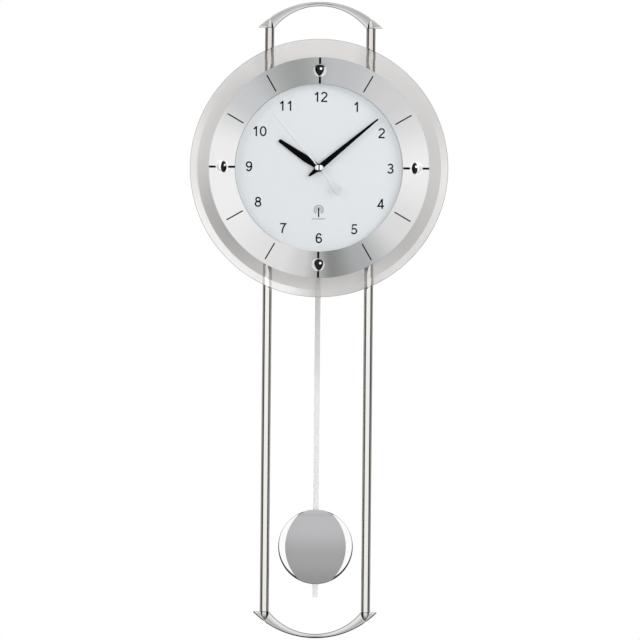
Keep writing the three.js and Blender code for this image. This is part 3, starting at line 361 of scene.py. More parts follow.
def fit_piece(name, mesh, body, slot, *nodes):
    piece = add_object(name, mesh)
    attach(piece, body)
    if nodes:
        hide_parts(*nodes)
    return piece


def stand_piece(name, mesh, body, slot, *nodes, degrees=20):
    mesh.transform(standing)
    shade_by_angle(mesh, degrees)
    fit_piece(name, mesh, body, slot, *nodes)


def weld(mesh, distance=0.0001, recalculated=True):
    shell = bmesh.new()
    shell.from_mesh(mesh)
    bmesh.ops.remove_doubles(shell, verts=shell.verts, dist=distance)
    if recalculated:
        bmesh.ops.recalc_face_normals(shell, faces=shell.faces)
    shell.to_mesh(mesh)
    shell.free()


def smoothed_copy(name, node, body, slot, material):
    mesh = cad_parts[node].data.copy()
    weld(mesh, 0.000002, False)
    mesh.materials.clear()
    mesh.materials.append(material)
    shade_by_angle(mesh, 32)
    piece = fit_piece(name, mesh, body, slot, node)
    even_normals = piece.modifiers.new("even_normals", "WEIGHTED_NORMAL")
    even_normals.keep_sharp = True
    even_normals.weight = 100


housing_plastic = worked_material("housing_plastic", (0.018, 0.019, 0.021), 0.48, scale=2600, shade=0.5,
                                  rub=0.25, relief=40)
smoothed_copy("housing_drum", "rear_housing", "clock", "housing_plastic", housing_plastic)

# Hanger: a zinc-plated steel strip with a keyhole, pressed out, and held to two posts of the
# housing by pan-head screws.
def dress(material, *nodes):
    for node in nodes:
        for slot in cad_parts[node].material_slots:
            slot.material = material


zinc_steel = worked_material("zinc_steel", (0.52, 0.53, 0.54), 0.34, metallic=1, scale=420, shade=0.35,
                             rub=0.3, relief=4)
dress(zinc_steel, "hanger_plate")


def mesh_from(name, shell, materials):
    mesh = bpy.data.meshes.new(name)
    shell.to_mesh(mesh)
    shell.free()
    for material in materials:
        mesh.materials.append(material)
    return mesh


def turned_mesh(name, profile, facets, material, x=0, y=0):
    shell = bmesh.new()
    turns = [2 * math.pi * i / facets for i in range(facets)]
    rings = []
    for radius, height in profile:
        spots = [(x, y)]
        if radius >= 1e-6:
            spots = [(x + radius * math.cos(turn), y + radius * math.sin(turn)) for turn in turns]
        rings.append([shell.verts.new((*spot, height)) for spot in spots])
    closed = len(rings[0]) > 1 or len(rings[-1]) > 1
    pairs = list(zip(rings, rings[1:])) + ([(rings[-1], rings[0])] if closed else [])
    for low, high in pairs:
        for i in range(facets):
            j = (i + 1) % facets
            corners = [low[i % len(low)], low[j % len(low)], high[j % len(high)], high[i % len(high)]]
            distinct = list(dict.fromkeys(corners))
            if len(distinct) > 2:
                shell.faces.new(distinct)
    bmesh.ops.recalc_face_normals(shell, faces=shell.faces)
    return mesh_from(name, shell, [material])


def rounded(radius, height, start, end, steps, x=0.0, y=0.0):
    points = []
    for i in range(steps + 1):
        angle = math.radians(start + (end - start) * i / steps)
        points.append((x + radius * math.cos(angle), y + height * math.sin(angle)))
    return points


def screw_profile(head_radius, steps, shank, seat, shoulder, tip):
    pan = 1.8
    return [(0, seat - pan)] + rounded(head_radius, pan, -80, 0, steps, 0, seat) + [
        (shank, seat), (shank, shoulder), (0, tip)]


screw_facets = 24
hanger_screw_x = 21
hanger_head = 2.7
hanger_shank = 1.3
hanger_seat = 2.7
hanger_shoulder = hanger_seat + 8
hanger_profile = screw_profile(hanger_head, 4, hanger_shank, hanger_seat, hanger_shoulder,
                               hanger_shoulder + 1)
for side, word in [(-1, "left"), (1, "right")]:
    screw = turned_mesh("hanger_screw", hanger_profile, screw_facets, zinc_steel, side * hanger_screw_x,
                        hanging_height)
    stand_piece("hanger_screw_" + word + "_turned", screw, "clock", "zinc_steel", "hanger_screw_" + word)

# Tubes: two thin-walled steel tubes, drawn, satin nickel plated, that run from bow to bow
# through the troughs of the housing. Fine drawing lines run along them.
tube_radius = 5.0
tube_wall = 0.7
tube_edge = 0.15
tube_x = 55.75
tube_depth = 43.3
frame_top = 154.4
frame_bottom = 488.8
seat_gap = 0.3


def coated(tree, geometry, material):
    whole = output_of(tree, "GeometryNodeRealizeInstances", {0: geometry})
    return output_of(tree, "GeometryNodeSetMaterial", {"Geometry": whole, "Material": material})


def sleeve_tree():
    tree, given, result = new_tree("turned_sleeve", "GeometryNodeTree", [
        ("Radius", "Float", 10.0), ("Wall", "Float", 1.0), ("Height", "Float", 10.0),
        ("Edge Break", "Float", 0.1), ("Facets", "Int", 64), ("Material", "Material")],
        [("Geometry", "Geometry")])
    half_wall = compute(tree, "MULTIPLY", given["Wall"], 0.5)
    path = output_of(tree, "GeometryNodeCurvePrimitiveCircle", {
        "Resolution": given["Facets"], "Radius": compute(tree, "SUBTRACT", given["Radius"], half_wall)})
    section = output_of(tree, "GeometryNodeCurvePrimitiveQuadrilateral", {
        "Width": given["Wall"], "Height": given["Height"]})
    broken = output_of(tree, "GeometryNodeFilletCurve", {
        "Curve": section, "Radius": given["Edge Break"], "Count": 2}, mode="POLY")
    swept = output_of(tree, "GeometryNodeCurveToMesh", {"Curve": path, "Profile Curve": broken})
    feed(tree, result[0], coated(tree, swept, given["Material"]))
    return tree


turned_sleeve = sleeve_tree()


def settled_mesh(holder, *others):
    evaluated = holder.evaluated_get(bpy.context.evaluated_depsgraph_get())
    mesh = bpy.data.meshes.new_from_object(evaluated)
    for used in (holder, *others):
        bpy.data.objects.remove(used)
    return mesh


def from_tree(name, tree, sizes):
    holder = add_object(name, bpy.data.meshes.new(name))
    modifier = holder.modifiers.new(name, "NODES")
    modifier.node_group = tree
    for item in tree.interface.items_tree:
        if item.in_out == "INPUT" and item.name in sizes:
            modifier[item.identifier] = sizes[item.name]
    return settled_mesh(holder)


def sleeve_mesh(name, radius, bore, height, edge, facets, material):
    mesh = from_tree(name, turned_sleeve, {
        "Radius": radius, "Wall": radius - bore, "Height": height, "Edge Break": edge,
        "Facets": facets, "Material": material})
    weld(mesh)
    return mesh


def recolour(material, colour):
    feed(material.node_tree, material.node_tree.nodes["grain"].inputs["Colour"], colour)


def shade_by_height(material, stops):
    tree = material.node_tree
    heights = [height for height, _ in stops]
    low, high = min(heights), max(heights)
    share = spread(tree, split(tree, coordinate(tree))["Z"], (low - hanging_height) / 1000,
                   (high - hanging_height) / 1000)
    recolour(material, ramp(tree, share, [((height - low) / (high - low), tone)
                                          for height, tone in stops]))


satin_nickel = worked_material("satin_nickel", (0.93, 0.922, 0.908), 0.15, metallic=1, scale=2400,
                               shade=0.06, rub=0.1, relief=1, stretch=(1, 1, 0.012))
# The tubes are painted shade: darker towards the top, and a little darker and warmer towards the bottom
shade_by_height(satin_nickel, [(-frame_bottom, (0.905, 0.885, 0.845)), (0, (0.93, 0.917, 0.9)),
                               (frame_top - 10, (0.79, 0.768, 0.745))])
tube_length = frame_top + frame_bottom - 2 * seat_gap
for side, word in [(-1, "left"), (1, "right")]:
    tube = sleeve_mesh("tube", tube_radius, tube_radius - tube_wall, tube_length, tube_edge, 64,
                       satin_nickel)
    tube.transform(Matrix.Rotation(math.pi / 2, 4, "X"))
    tube.transform(Matrix.Translation((side * tube_x, (frame_top - frame_bottom) / 2, tube_depth)))
    stand_piece("long_tube_" + word, tube, "clock", "satin_nickel", word + "_tube")

# Bows: two die-cast crescents with a face that climbs to the outer edge, a narrow lip along the
# inner edge, a polished boss that runs out into the face above each tube as a pointed arch, and
# a spigot that is pressed into the tube. Satin nickel plated.
bow_outer_rise = 28.6
bow_inner_rise = 24.2
bow_outer_half = tube_x + 12.4
bow_inner_half = tube_x - 5.2
bow_back = -3.4
bow_face = 2.75
bow_crest = 5.1
bow_lip = 1.75
bow_chamfer = 1.1
bow_rim = 0.45
bow_edge = 0.25
wall_top = 2.3
foot_strip = 0.02
face_part = 3


def arch_point(half_chord, rise, along):
    radius = (half_chord ** 2 + rise ** 2) / (2 * rise)
    angle = along * math.asin(half_chord / radius)
    return Vector((radius * math.sin(angle), rise - radius + radius * math.cos(angle)))


def bow_section(width, share):
    crest = bow_face + (bow_crest - bow_face) * share
    span = width - bow_lip - bow_rim - bow_chamfer
    wall = [(bow_edge, bow_back), (0, bow_back + bow_edge), (0, wall_top)]
    shaded_slope = [(0.15, 2.65), (0.5, 2.95)]
    lip = [(0.75, 3.05), (bow_lip - 0.3, 3.0), (bow_lip - 0.15, 2.85), (bow_lip, bow_face)]
    steps = 10
    face = [(bow_lip + span * t, bow_face + (crest - bow_face) * (1 - (1 - t) ** 1.25))
            for t in [i / steps for i in range(1, steps + 1)]]
    rim = [(width - bow_chamfer, crest - 0.02), (width - bow_chamfer * 0.5, crest - bow_chamfer * 0.13),
           (width - bow_chamfer * 0.13, crest - bow_chamfer * 0.5), (width, crest - bow_chamfer),
           (width, bow_back + bow_edge), (width - bow_edge, bow_back)]
    points, parts = [], []
    for part, corners in enumerate((wall, shaded_slope, lip, face, rim)):
        points += corners
        parts += [part] * len(corners)
    return points, parts


def crescent_mesh(materials):
    stations = 96
    ways = [2 * i / stations - 1 for i in range(stations + 1)]
    ways = [-1, foot_strip - 1] + ways[2:-2] + [1 - foot_strip, 1]
    foot = bow_outer_half - bow_inner_half
    # The slope behind the lip takes the painted shade, the lip the painted highlight, the outer edge its
    # own painted tone
    material_of_part = [0, 2, 1, 0, 3]
    rings = []
    shell = bmesh.new()
    for along in ways:
        inner = arch_point(bow_inner_half, bow_inner_rise, along)
        across = arch_point(bow_outer_half, bow_outer_rise, along) - inner
        width = across.length
        across.normalize()
        section, parts = bow_section(width, math.sqrt(width / foot))
        rings.append([shell.verts.new((*(inner + across * u), depth)) for u, depth in section])
    for i, (low, high) in enumerate(zip(rings, rings[1:])):
        at_foot = i == 0 or i == len(rings) - 2
        for j, corner in enumerate(low):
            k = (j + 1) % len(low)
            face = shell.faces.new((corner, high[j], high[k], low[k]))
            face.material_index = material_of_part[parts[k]]
            # A narrow strip of face at each foot takes the painted highlight
            if at_foot and parts[k] == face_part:
                face.material_index = 1
    shell.faces.new(rings[0])
    shell.faces.new(rings[-1])
    bmesh.ops.recalc_face_normals(shell, faces=shell.faces)
    return mesh_from("painted_dark_crescent", shell, materials)


def combined(base, tool, operation):
    holder = add_object("blank", base)
    cutter = add_object("cutter", tool)
    modifier = holder.modifiers.new("cut", "BOOLEAN")
    modifier.operation = operation
    modifier.solver = "EXACT"
    modifier.object = cutter
    return settled_mesh(holder, cutter)


def flat_mesh(name, outlines, back, front, edge, material, steps=1):
    curve = bpy.data.curves.new(name, "CURVE")
    curve.dimensions = "2D"
    curve.fill_mode = "BOTH"
    curve.extrude = (front - back) / 2 - edge
    curve.bevel_depth = edge
    curve.bevel_resolution = steps
    curve.offset = -edge
    for outline in outlines:
        spline = curve.splines.new("POLY")
        spline.points.add(len(outline) - 1)
        spline.use_cyclic_u = True
        for point, (x, y) in zip(spline.points, outline):
            point.co = (x, y, 0, 1)
    mesh = settled_mesh(add_object(name, curve))
    mesh.transform(Matrix.Translation((0, 0, (back + front) / 2)))
    mesh.materials.clear()
    mesh.materials.append(material)
    weld(mesh)
    return mesh


def paint_faces(mesh, index, chosen):
    for face in mesh.polygons:
        if chosen(face.center):
            face.material_index = index


spigot = 3.7
spigot_length = 12
boss_edge = 0.3
boss_reach = 26
arch_steps = 24


def beside_tube(mesh, side):
    mesh.transform(Matrix.Translation((side * tube_x, 0, 0)) @ Matrix.Rotation(-math.pi / 2, 4, "X"))
    weld(mesh)
    return mesh


def boss_mesh(side, boss_radius, polished, shaded):
    profile = [(0, -spigot_length), (spigot * 0.9, -spigot_length), (spigot, 1 - spigot_length),
               (spigot, 0), (boss_radius - boss_edge, 0), (boss_radius, boss_edge),
               (boss_radius, boss_reach), (0, boss_reach)]
    boss = turned_mesh("boss", profile, 64, polished)
    boss.materials.append(shaded)
    # The spigot and the foot of the boss take the painted shade
    paint_faces(boss, 1, lambda spot: spot.z < 0.25)
    limits = [arch_point(bow_outer_half - bow_chamfer, bow_outer_rise - bow_chamfer, 1 - i / arch_steps)
              for i in range(2 * arch_steps + 1)]
    limits += [(-bow_outer_half, -20), (bow_outer_half, -20)]
    limit = flat_mesh("limit", [limits], -9, 9, 0, polished)
    return combined(beside_tube(boss, side), limit, "INTERSECT")


def recessed(mesh, side, radius):
    narrow = min(radius, 4.75)
    profile = [(0, -1), (radius, -1), (radius, 3), (narrow, 8), (narrow, boss_reach), (0, boss_reach)]
    recess = turned_mesh("recess", profile, 64, mesh.materials[0])
    # The groove round the boss takes the painted shade, a dark line
    paint_faces(recess, 2, lambda spot: True)
    return combined(mesh, beside_tube(recess, side), "DIFFERENCE")


def merge_meshes(name, meshes):
    shell = bmesh.new()
    materials = []
    for mesh in meshes:
        first_face = len(shell.faces)
        shell.from_mesh(mesh)
        shell.faces.ensure_lookup_table()
        for material in mesh.materials:
            if material not in materials:
                materials.append(material)
        for face in shell.faces[first_face:]:
            face.material_index = materials.index(mesh.materials[face.material_index])
    return mesh_from(name, shell, materials)


nickel_tint = (1, 0.992, 0.978)
flank_start = 0.48
flank_full = 0.6
flank_painted_shade = 0.06


# The bow's face is painted with tones from the lip to the outer edge, a painted highlight and shade
def bow_material(word, tones):
    material = worked_material("cast_nickel_" + word, tinted(tones[0][1], nickel_tint), 0.3, metallic=1,
                               scale=900, shade=0.08, rub=0.12, relief=2)
    tree = material.node_tree
    climb = spread(tree, split(tree, coordinate(tree))["Y"], -(tube_depth + bow_face) / 1000,
                   -(tube_depth + bow_crest) / 1000)
    recolour(material, ramp(tree, climb, [(share, tinted(tone, nickel_tint)) for share, tone in tones]))
    return material


def plain_nickel(name, tone, roughness=0.25):
    return worked_material(name, tinted(tone, nickel_tint), roughness, metallic=1, scale=900,
                           shade=0.06, rub=0.1, relief=1)


# Painted reflection on a boss: tones by height, then dark flanks where its surface turns sideways
def shade_flanks(material, height, tones):
    shade_by_height(material, [(height + rise, tinted(tone, nickel_tint)) for rise, tone in tones])
    tree = material.node_tree
    sideways = split(tree, coordinate(tree, "Normal"))["X"]
    flank = spread(tree, compute(tree, "ABSOLUTE", sideways), flank_start, flank_full)
    plain = tree.nodes["grain"].inputs["Colour"].links[0].from_socket
    recolour(material, mix_colours(tree, flank, plain, flank_painted_shade))


# For each bow: the face's painted tones from lip to outer edge, the outer edge's painted tone, the boss
# and recess radii, and the boss's painted tones by height
bow_painted_light = {
    "top": ([(0.0, 0.86), (0.4, 0.64), (0.75, 0.5), (1.0, 0.52)], 0.68, 4.4, 4.75,
            [(0, 0.7), (12, 0.85)]),
    "bottom": ([(0.0, 0.9), (0.35, 0.72), (0.6, 0.46), (1.0, 0.6)], 0.03, 4.8, 5.6,
               [(-9.5, 0.035), (-7.4, 0.08), (-5.4, 0.28), (-3.0, 0.62), (-1.5, 0.8), (0, 0.75)])}
# Painted highlight for the lips and feet of the bows, and painted shade for the lip slopes, grooves and
# boss feet
painted_highlight_nickel = plain_nickel("painted_highlight_nickel", 0.83)
shaded_nickel = plain_nickel("shaded_nickel", 0.2, 0.35)
for word, height, turn in [("top", frame_top, 0), ("bottom", -frame_bottom, math.pi)]:
    face_painted_light, rim_painted_tone, boss_radius, recess_radius, boss_painted_tones = bow_painted_light[word]
    boss_nickel = plain_nickel("boss_nickel_" + word, 0.75, 0.18)
    shade_flanks(boss_nickel, height, boss_painted_tones)
    bow = crescent_mesh([bow_material(word, face_painted_light), painted_highlight_nickel, shaded_nickel,
                         plain_nickel("rim_painted_nickel_" + word, rim_painted_tone)])
    for side in (-1, 1):
        bow = recessed(bow, side, recess_radius)
    bosses = [boss_mesh(side, boss_radius, boss_nickel, shaded_nickel) for side in (-1, 1)]
    bow = merge_meshes("bow", [bow] + bosses)
    bow.transform(Matrix.Translation((0, height, tube_depth)) @ Matrix.Rotation(turn, 4, "Z"))
    stand_piece("bow_" + word, bow, "clock", "satin_nickel", word + "_bow")

# Glass disc: five millimetre float glass with a faint warm tint, ground to a shallow bevel round
# its front, and bored for the bush and for four clamp screws.
glass_back = 48.9
glass_front = 53.9
glass_radius = 142.0
bevel_width = 8.0
bevel_drop = 1.6
arris = 0.45
back_arris = 0.5
clamp_radius = 106.5
clamp_hole = 1.8
bush_hole = 4.3
quarter_hours = [(12, 0), (3, 90), (6, 180), (9, 270)]


def glass_material(name, tint, roughness):
    material = bpy.data.materials.new(name)
    material.use_nodes = True
    tree = material.node_tree
    ripple = output_of(tree, "ShaderNodeTexNoise", {"Vector": coordinate(tree), "Scale": 9, "Detail": 1})
    bump = output_of(tree, "ShaderNodeBump", {"Height": ripple, "Distance": 0.00002})
    set_shader(tree, {"Base Color": rgba(tint), "Roughness": roughness, "Transmission Weight": 1,
                      "IOR": 1.5, "Normal": bump})
    let_through = rgba([math.sqrt(value) for value in tint])
    clear = output_of(tree, "ShaderNodeBsdfTransparent", {"Color": let_through})
    surface = mix_shaders(tree, ray_kinds(tree)["Is Shadow Ray"],
                          tree.nodes["Principled BSDF"].outputs[0], clear)
    feed(tree, tree.nodes["Material Output"].inputs["Surface"], surface)
    return material


# The bevel carries painted light: a glow added hour by hour round the dial, mostly low on the left and on
# the right
def bevel_material(tint, glow_stops):
    material = glass_material("painted_glow_bevel", tint, 0.02)
    tree = material.node_tree
    painted_glow = ramp(tree, polar_of(tree)["Clock"], by_hour(glow_stops))
    set_shader(tree, {"Emission Color": painted_glow, "Emission Strength": 1})
    return material


def around(radius, degrees):
    angle = math.radians(degrees)
    return radius * math.sin(angle), radius * math.cos(angle)


def drilled(mesh, holes, back, front):
    for radius, x, y in holes:
        profile = [(0, back - 1), (radius, back - 1), (radius, front + 1), (0, front + 1)]
        drill = turned_mesh("drill", profile, 40, mesh.materials[0], x, y)
        mesh = combined(mesh, drill, "DIFFERENCE")
    return mesh


clamp_holes = [(clamp_hole, *around(clamp_radius, degrees)) for _, degrees in quarter_hours]
disc_tint = (0.9, 0.889, 0.879)
disc_glass = glass_material("disc_glass", disc_tint, 0.0)
bevel_painted_glow = [(6.0, 0.05), (6.5, 0.3), (8.0, 0.44), (9.2, 0.17), (10.2, 0.02), (11.0, 0.0),
              (14.0, 0.01), (15.3, 0.2), (16.6, 0.2), (17.5, 0.02), (18.0, 0.05)]
disc_profile = [
    (0, glass_back), (glass_radius - back_arris, glass_back), (glass_radius, glass_back + back_arris),
    (glass_radius, glass_front - bevel_drop - arris),
    (glass_radius - arris, glass_front - bevel_drop * (1 - arris / bevel_width)),
    (glass_radius - bevel_width, glass_front), (0, glass_front)]
disc = turned_mesh("disc", disc_profile, 256, disc_glass)
disc = drilled(disc, clamp_holes + [(bush_hole, 0, 0)], glass_back, glass_front)
disc.materials.append(bevel_material(disc_tint, bevel_painted_glow))
# The disc's rim is dark glass, painted shade for the dark line along a glass edge
disc.materials.append(glass_material("disc_edge_painted_shade", (0.26, 0.265, 0.26), 0.1))
paint_faces(disc, 1, lambda spot: spot.z > glass_front - bevel_drop
            and math.hypot(spot.x, spot.y) > glass_radius - bevel_width)
paint_faces(disc, 2, lambda spot: math.hypot(spot.x, spot.y) > glass_radius - 0.6)
stand_piece("bevelled_disc", disc, "clock", "disc_glass", "glass_disc", degrees=6)

# Hour ring: two millimetre aluminium sheet, brushed in circles and silver anodised; the fan of light
# round it is a painted reflection. Four stand-offs carry it over the glass, drawn up by long screws.
ring_radius = 121.1
ring_bore = 91.9
ring_back = 66.5
ring_front = 68.5
brushing_length = 0.004
# Painted reflection: the fan of light and dark round the ring, tone and tint by the hour
painted_fan_tones = [
    (6.0, 0.69, 0), (6.3, 0.83, 0), (6.75, 0.9, 0), (8.4, 0.965, 0), (9.4, 0.955, 0), (10.4, 0.81, 1),
    (11.55, 0.64, 2), (12.35, 0.765, 1), (13.6, 0.84, 0), (15.0, 0.96, 0), (16.3, 0.885, 0),
    (17.2, 0.69, 1), (17.75, 0.555, 2), (18.0, 0.69, 0)]
painted_fan_tints = [(1.0, 1.0, 1.0), (0.985, 1.0, 1.02), (0.99, 1.015, 1.0)]
# Painted shade: a thin dark line along the ring's inner edge on the left, from seven to eleven o'clock
inner_edge_painted_shade = [(6.0, 0.0), (6.6, 0.0), (7.2, 0.8), (10.8, 0.8), (11.5, 0.0), (18.0, 0.0)]
line_width = 0.5


def to_linear(value):
    return ((value + 0.055) / 1.055) ** 2.4


def ring_material():
    material = worked_material("ring_aluminium", (0.8, 0.8, 0.8), 0.3, metallic=1, scale=2600, shade=0.16,
                               relief=2.5)
    tree = material.node_tree
    polar = polar_of(tree, brushing_length)
    feed(tree, tree.nodes["grain"].inputs["Place"], polar["Around"])
    painted_fan = ramp(tree, polar["Clock"], by_hour([(hour, tinted(to_linear(tone), painted_fan_tints[tint]))
                                              for hour, tone, tint in painted_fan_tones]))
    strength = ramp(tree, polar["Clock"], by_hour(inner_edge_painted_shade))
    at_edge = spread(tree, polar["Radius"], (ring_bore + line_width) / 1000,
                     (ring_bore + line_width * 0.7) / 1000)
    recolour(material, mix_colours(tree, compute(tree, "MULTIPLY", strength, at_edge), painted_fan, 0.1))
    return material


ring_aluminium = ring_material()
ring = sleeve_mesh("ring", ring_radius, ring_bore, ring_front - ring_back, 0.3, 256, ring_aluminium)
ring.transform(Matrix.Translation((0, 0, (ring_back + ring_front) / 2)))
ring = drilled(ring, clamp_holes, ring_back, ring_front)
stand_piece("hour_ring", ring, "clock", "ring_aluminium", "dial_ring")

# Fittings round the dial: chromed stand-offs and dome nuts at the quarters, with black sticks
# under the nuts, thin printed lines at the other hours, and zinc-plated screws from behind.
def round_tree():
    tree, given, result = new_tree("round_the_dial", "GeometryNodeTree", [
        ("Piece", "Object"), ("Count", "Int", 12), ("Radius", "Float", 100.0),
        ("Leave Quarters", "Bool", False), ("Material", "Material")], [("Geometry", "Geometry")])
    index = output_of(tree, "GeometryNodeInputIndex")
    share = compute(tree, "DIVIDE", index, given["Count"])
    angle = compute(tree, "MULTIPLY", share, 2 * math.pi)
    across = compute(tree, "MULTIPLY", compute(tree, "SINE", angle), given["Radius"])
    upward = compute(tree, "MULTIPLY", compute(tree, "COSINE", angle), given["Radius"])
    spots = output_of(tree, "GeometryNodePoints", {
        "Count": given["Count"],
        "Position": output_of(tree, "ShaderNodeCombineXYZ", {"X": across, "Y": upward})})
    turn = output_of(tree, "ShaderNodeCombineXYZ", {"Z": compute(tree, "MULTIPLY", angle, -1.0)})
    quarter = compute(tree, "LESS_THAN", compute(tree, "MODULO", index, 3.0), 0.5)
    wanted = output_of(tree, "FunctionNodeBooleanMath", {
        0: given["Leave Quarters"], 1: quarter}, operation="NAND")
    source = output_of(tree, "GeometryNodeObjectInfo", {"Object": given["Piece"]}, "Geometry")
    placed = output_of(tree, "GeometryNodeInstanceOnPoints", {
        "Points": spots, "Selection": wanted, "Instance": source, "Rotation": turn})
    feed(tree, result[0], coated(tree, placed, given["Material"]))
    return tree


round_the_dial = round_tree()


def set_round(name, mesh, count, radius, leave_quarters, material, slot, *nodes):
    pattern = add_object("pattern", mesh)
    whole = from_tree(name, round_the_dial, {
        "Piece": pattern, "Count": count, "Radius": radius, "Leave Quarters": leave_quarters,
        "Material": material})
    bpy.data.objects.remove(pattern)
    stand_piece(name, whole, "clock", slot, *nodes)


def four(word):
    return [f"{word}_{hour}" for hour, _ in quarter_hours]


chrome = worked_material("chrome", (0.9, 0.9, 0.9), 0.05, metallic=1, scale=500, shade=0.02, rub=0.03,
                         relief=0.5)
standoff_radius = 5.0
standoff_length = 12.0
standoff = sleeve_mesh("standoff", standoff_radius, clamp_hole, standoff_length, 0.3, 48, chrome)
standoff.transform(Matrix.Translation((0, 0, glass_front + seat_gap + standoff_length / 2)))
set_round("chromed_standoffs", standoff, 4, clamp_radius, False, chrome, "chrome", *four("standoff"))

dome_radius = 7.0
dome_rise = 2.6
dome_back = ring_front + seat_gap
dome_bore_end = dome_back + 5
dome_foot = math.degrees(math.asin(dome_rise / dome_radius))
dome_profile = [(0, dome_bore_end), (clamp_hole, dome_bore_end), (clamp_hole, dome_back)]
dome_profile += rounded(dome_radius, dome_radius, -dome_foot, 90, 20, 0, dome_back + dome_rise)[:-1]
dome_profile += [(0, dome_back + dome_rise + dome_radius)]
dome = turned_mesh("dome", dome_profile, 64, chrome)
# Painted shade along the top rim of the twelve o'clock nut
painted_brow_tones = [(0.0, 0), (0.42, 0), (0.56, 0.95), (0.84, 0.95), (0.93, 0.2), (1.0, 0.1)]


def dome_chrome():
    material = worked_material("dome_chrome", (0.92, 0.92, 0.92), 0.04, metallic=0.6, scale=500,
                               shade=0.02, rub=0.02, relief=0.5)
    tree = material.node_tree
    facing = split(tree, coordinate(tree, "Normal"))
    spot = split(tree, coordinate(tree))

    def inside_oval(centre_x, centre_z, half_width, half_height, softness):
        off_x = compute(tree, "SUBTRACT", facing["X"], centre_x)
        off_z = compute(tree, "SUBTRACT", facing["Z"], centre_z)
        reach = hypotenuse(tree, compute(tree, "DIVIDE", off_x, half_width),
                           compute(tree, "DIVIDE", off_z, half_height))
        return spread(tree, reach, 1 - softness, 1 + softness, 1, 0, interpolation_type="SMOOTHSTEP")

    # Painted reflection on each nut: a dark patch, a small highlight in it, a dark brow on the twelve
    # o'clock nut, and a glow painted on the bright part
    drift = compute(tree, "MULTIPLY_ADD", spot["X"], -2.5, -0.06)
    drift = compute(tree, "MULTIPLY_ADD", spot["Z"], -0.85, drift)
    from_middle = compute(tree, "ABSOLUTE", spot["X"])
    widest = compute(tree, "MULTIPLY_ADD", from_middle, -2.2, 0.7)
    narrowing = compute(tree, "MULTIPLY_ADD", from_middle, -4.5, 0.4)
    taper = compute(tree, "MULTIPLY_ADD", facing["Z"], narrowing, 1.0)
    painted_dark_reflection = inside_oval(drift, 0.0, compute(tree, "MULTIPLY", widest, taper), 0.92, 0.12)
    painted_highlight = inside_oval(compute(tree, "ADD", drift, 0.24), 0.24, 0.18, 0.18, 0.3)
    at_twelve = compute(tree, "GREATER_THAN", spot["Z"], 0.05 - hanging_height / 1000)
    painted_brow_shade = compute(tree, "MULTIPLY", ramp(tree, facing["Z"], painted_brow_tones), at_twelve)
    shade = compute(tree, "SUBTRACT", compute(tree, "MAXIMUM", painted_dark_reflection, painted_brow_shade), painted_highlight)
    shade = compute(tree, "MAXIMUM", shade, 0.0)
    recolour(material, mix_colours(tree, shade, 0.97, 0.006))
    set_shader(tree, {"Emission Color": mix_colours(tree, shade, 0.3, 0), "Emission Strength": 1})
    return material


set_round("dome_nuts", dome, 4, clamp_radius, False, dome_chrome(), "chrome", *four("dome_nut"))

clamp_head = 2.8
clamp_shank = 1.5
clamp_seat = 35.7
clamp_tip = dome_bore_end - seat_gap
clamp_profile = screw_profile(clamp_head, 5, clamp_shank, clamp_seat, clamp_tip, clamp_tip)
clamp_screw = turned_mesh("clamp_screw", clamp_profile, screw_facets, zinc_steel)
set_round("clamp_screws", clamp_screw, 4, clamp_radius, False, zinc_steel, "zinc_steel",
          *four("clamp_screw"))

print_height = 0.12
line_inner_end = 96.0
line_outer_end = 116.5
hour_line_width = 1.4
stick_height = 0.22
stick_width = 2.35
stick_margin = 0.3
black_print = worked_material("black_print", (0.003, 0.003, 0.0035), 0.5, scale=1800, shade=0.3, relief=3,
                              settings={"Specular IOR Level": 0.04})


def bar_outline(width, low, high):
    half = width / 2
    return [(half, low), (half, high), (-half, high), (-half, low)]


line_outline = bar_outline(hour_line_width, line_inner_end, line_outer_end)
hour_line = flat_mesh("hour_line", [line_outline], ring_front, ring_front + print_height, 0.03,
                      black_print)
set_round("hour_lines", hour_line, 12, 0, True, black_print, "hand_lacquer")
stick_outline = bar_outline(stick_width, ring_bore + stick_margin, ring_radius - stick_margin)
stick = flat_mesh("stick", [stick_outline], ring_front, ring_front + stick_height, 0.05, black_print)
set_round("quarter_sticks", stick, 4, 0, False, black_print, "hand_lacquer")

# Dial: thin aluminium sheet lacquered in a cool white, hung behind the ring on a grey plastic
# spacer. The numbers and the small mast are screen printed.
spacer_radius = 99.2
spacer_plastic = worked_material("spacer_plastic", (0.60, 0.615, 0.63), 0.45, scale=2200, shade=0.12,
                                 rub=0.2, relief=20)
dial_lacquer = worked_material("dial_lacquer", (0.83, 0.865, 0.89), 0.38, scale=700, shade=0.02,
                               rub=0.12, relief=3, settings={"Coat Weight": 0.15, "Coat Roughness": 0.3})
dial_front = 61.7
for name, bore, back, front, edge, finish, slot, node in [
        ("ring_spacer", 92.2, 62.0, 66.2, 0.2, spacer_plastic, "spacer_plastic", "dial_spacer"),
        ("dial_sheet", 4.6, 60.2, dial_front, 0.12, dial_lacquer, "dial_lacquer", "dial_plate")]:
    round_sheet = sleeve_mesh(name, spacer_radius, bore, front - back, edge, 192, finish)
    round_sheet.transform(Matrix.Translation((0, 0, (front + back) / 2)))
    stand_piece(name, round_sheet, "clock", slot, node)

number_ink = worked_material("number_ink", (0.004, 0.004, 0.005), 0.55, scale=1800, shade=0.3, relief=2,
                             settings={"Specular IOR Level": 0.04})
number_radius = 77.55
number_height = 11.0
number_stroke = 0.145
number_advance = 0.77
print_turn = 0.4
print_shift = 0.8
print_lift = 0.3
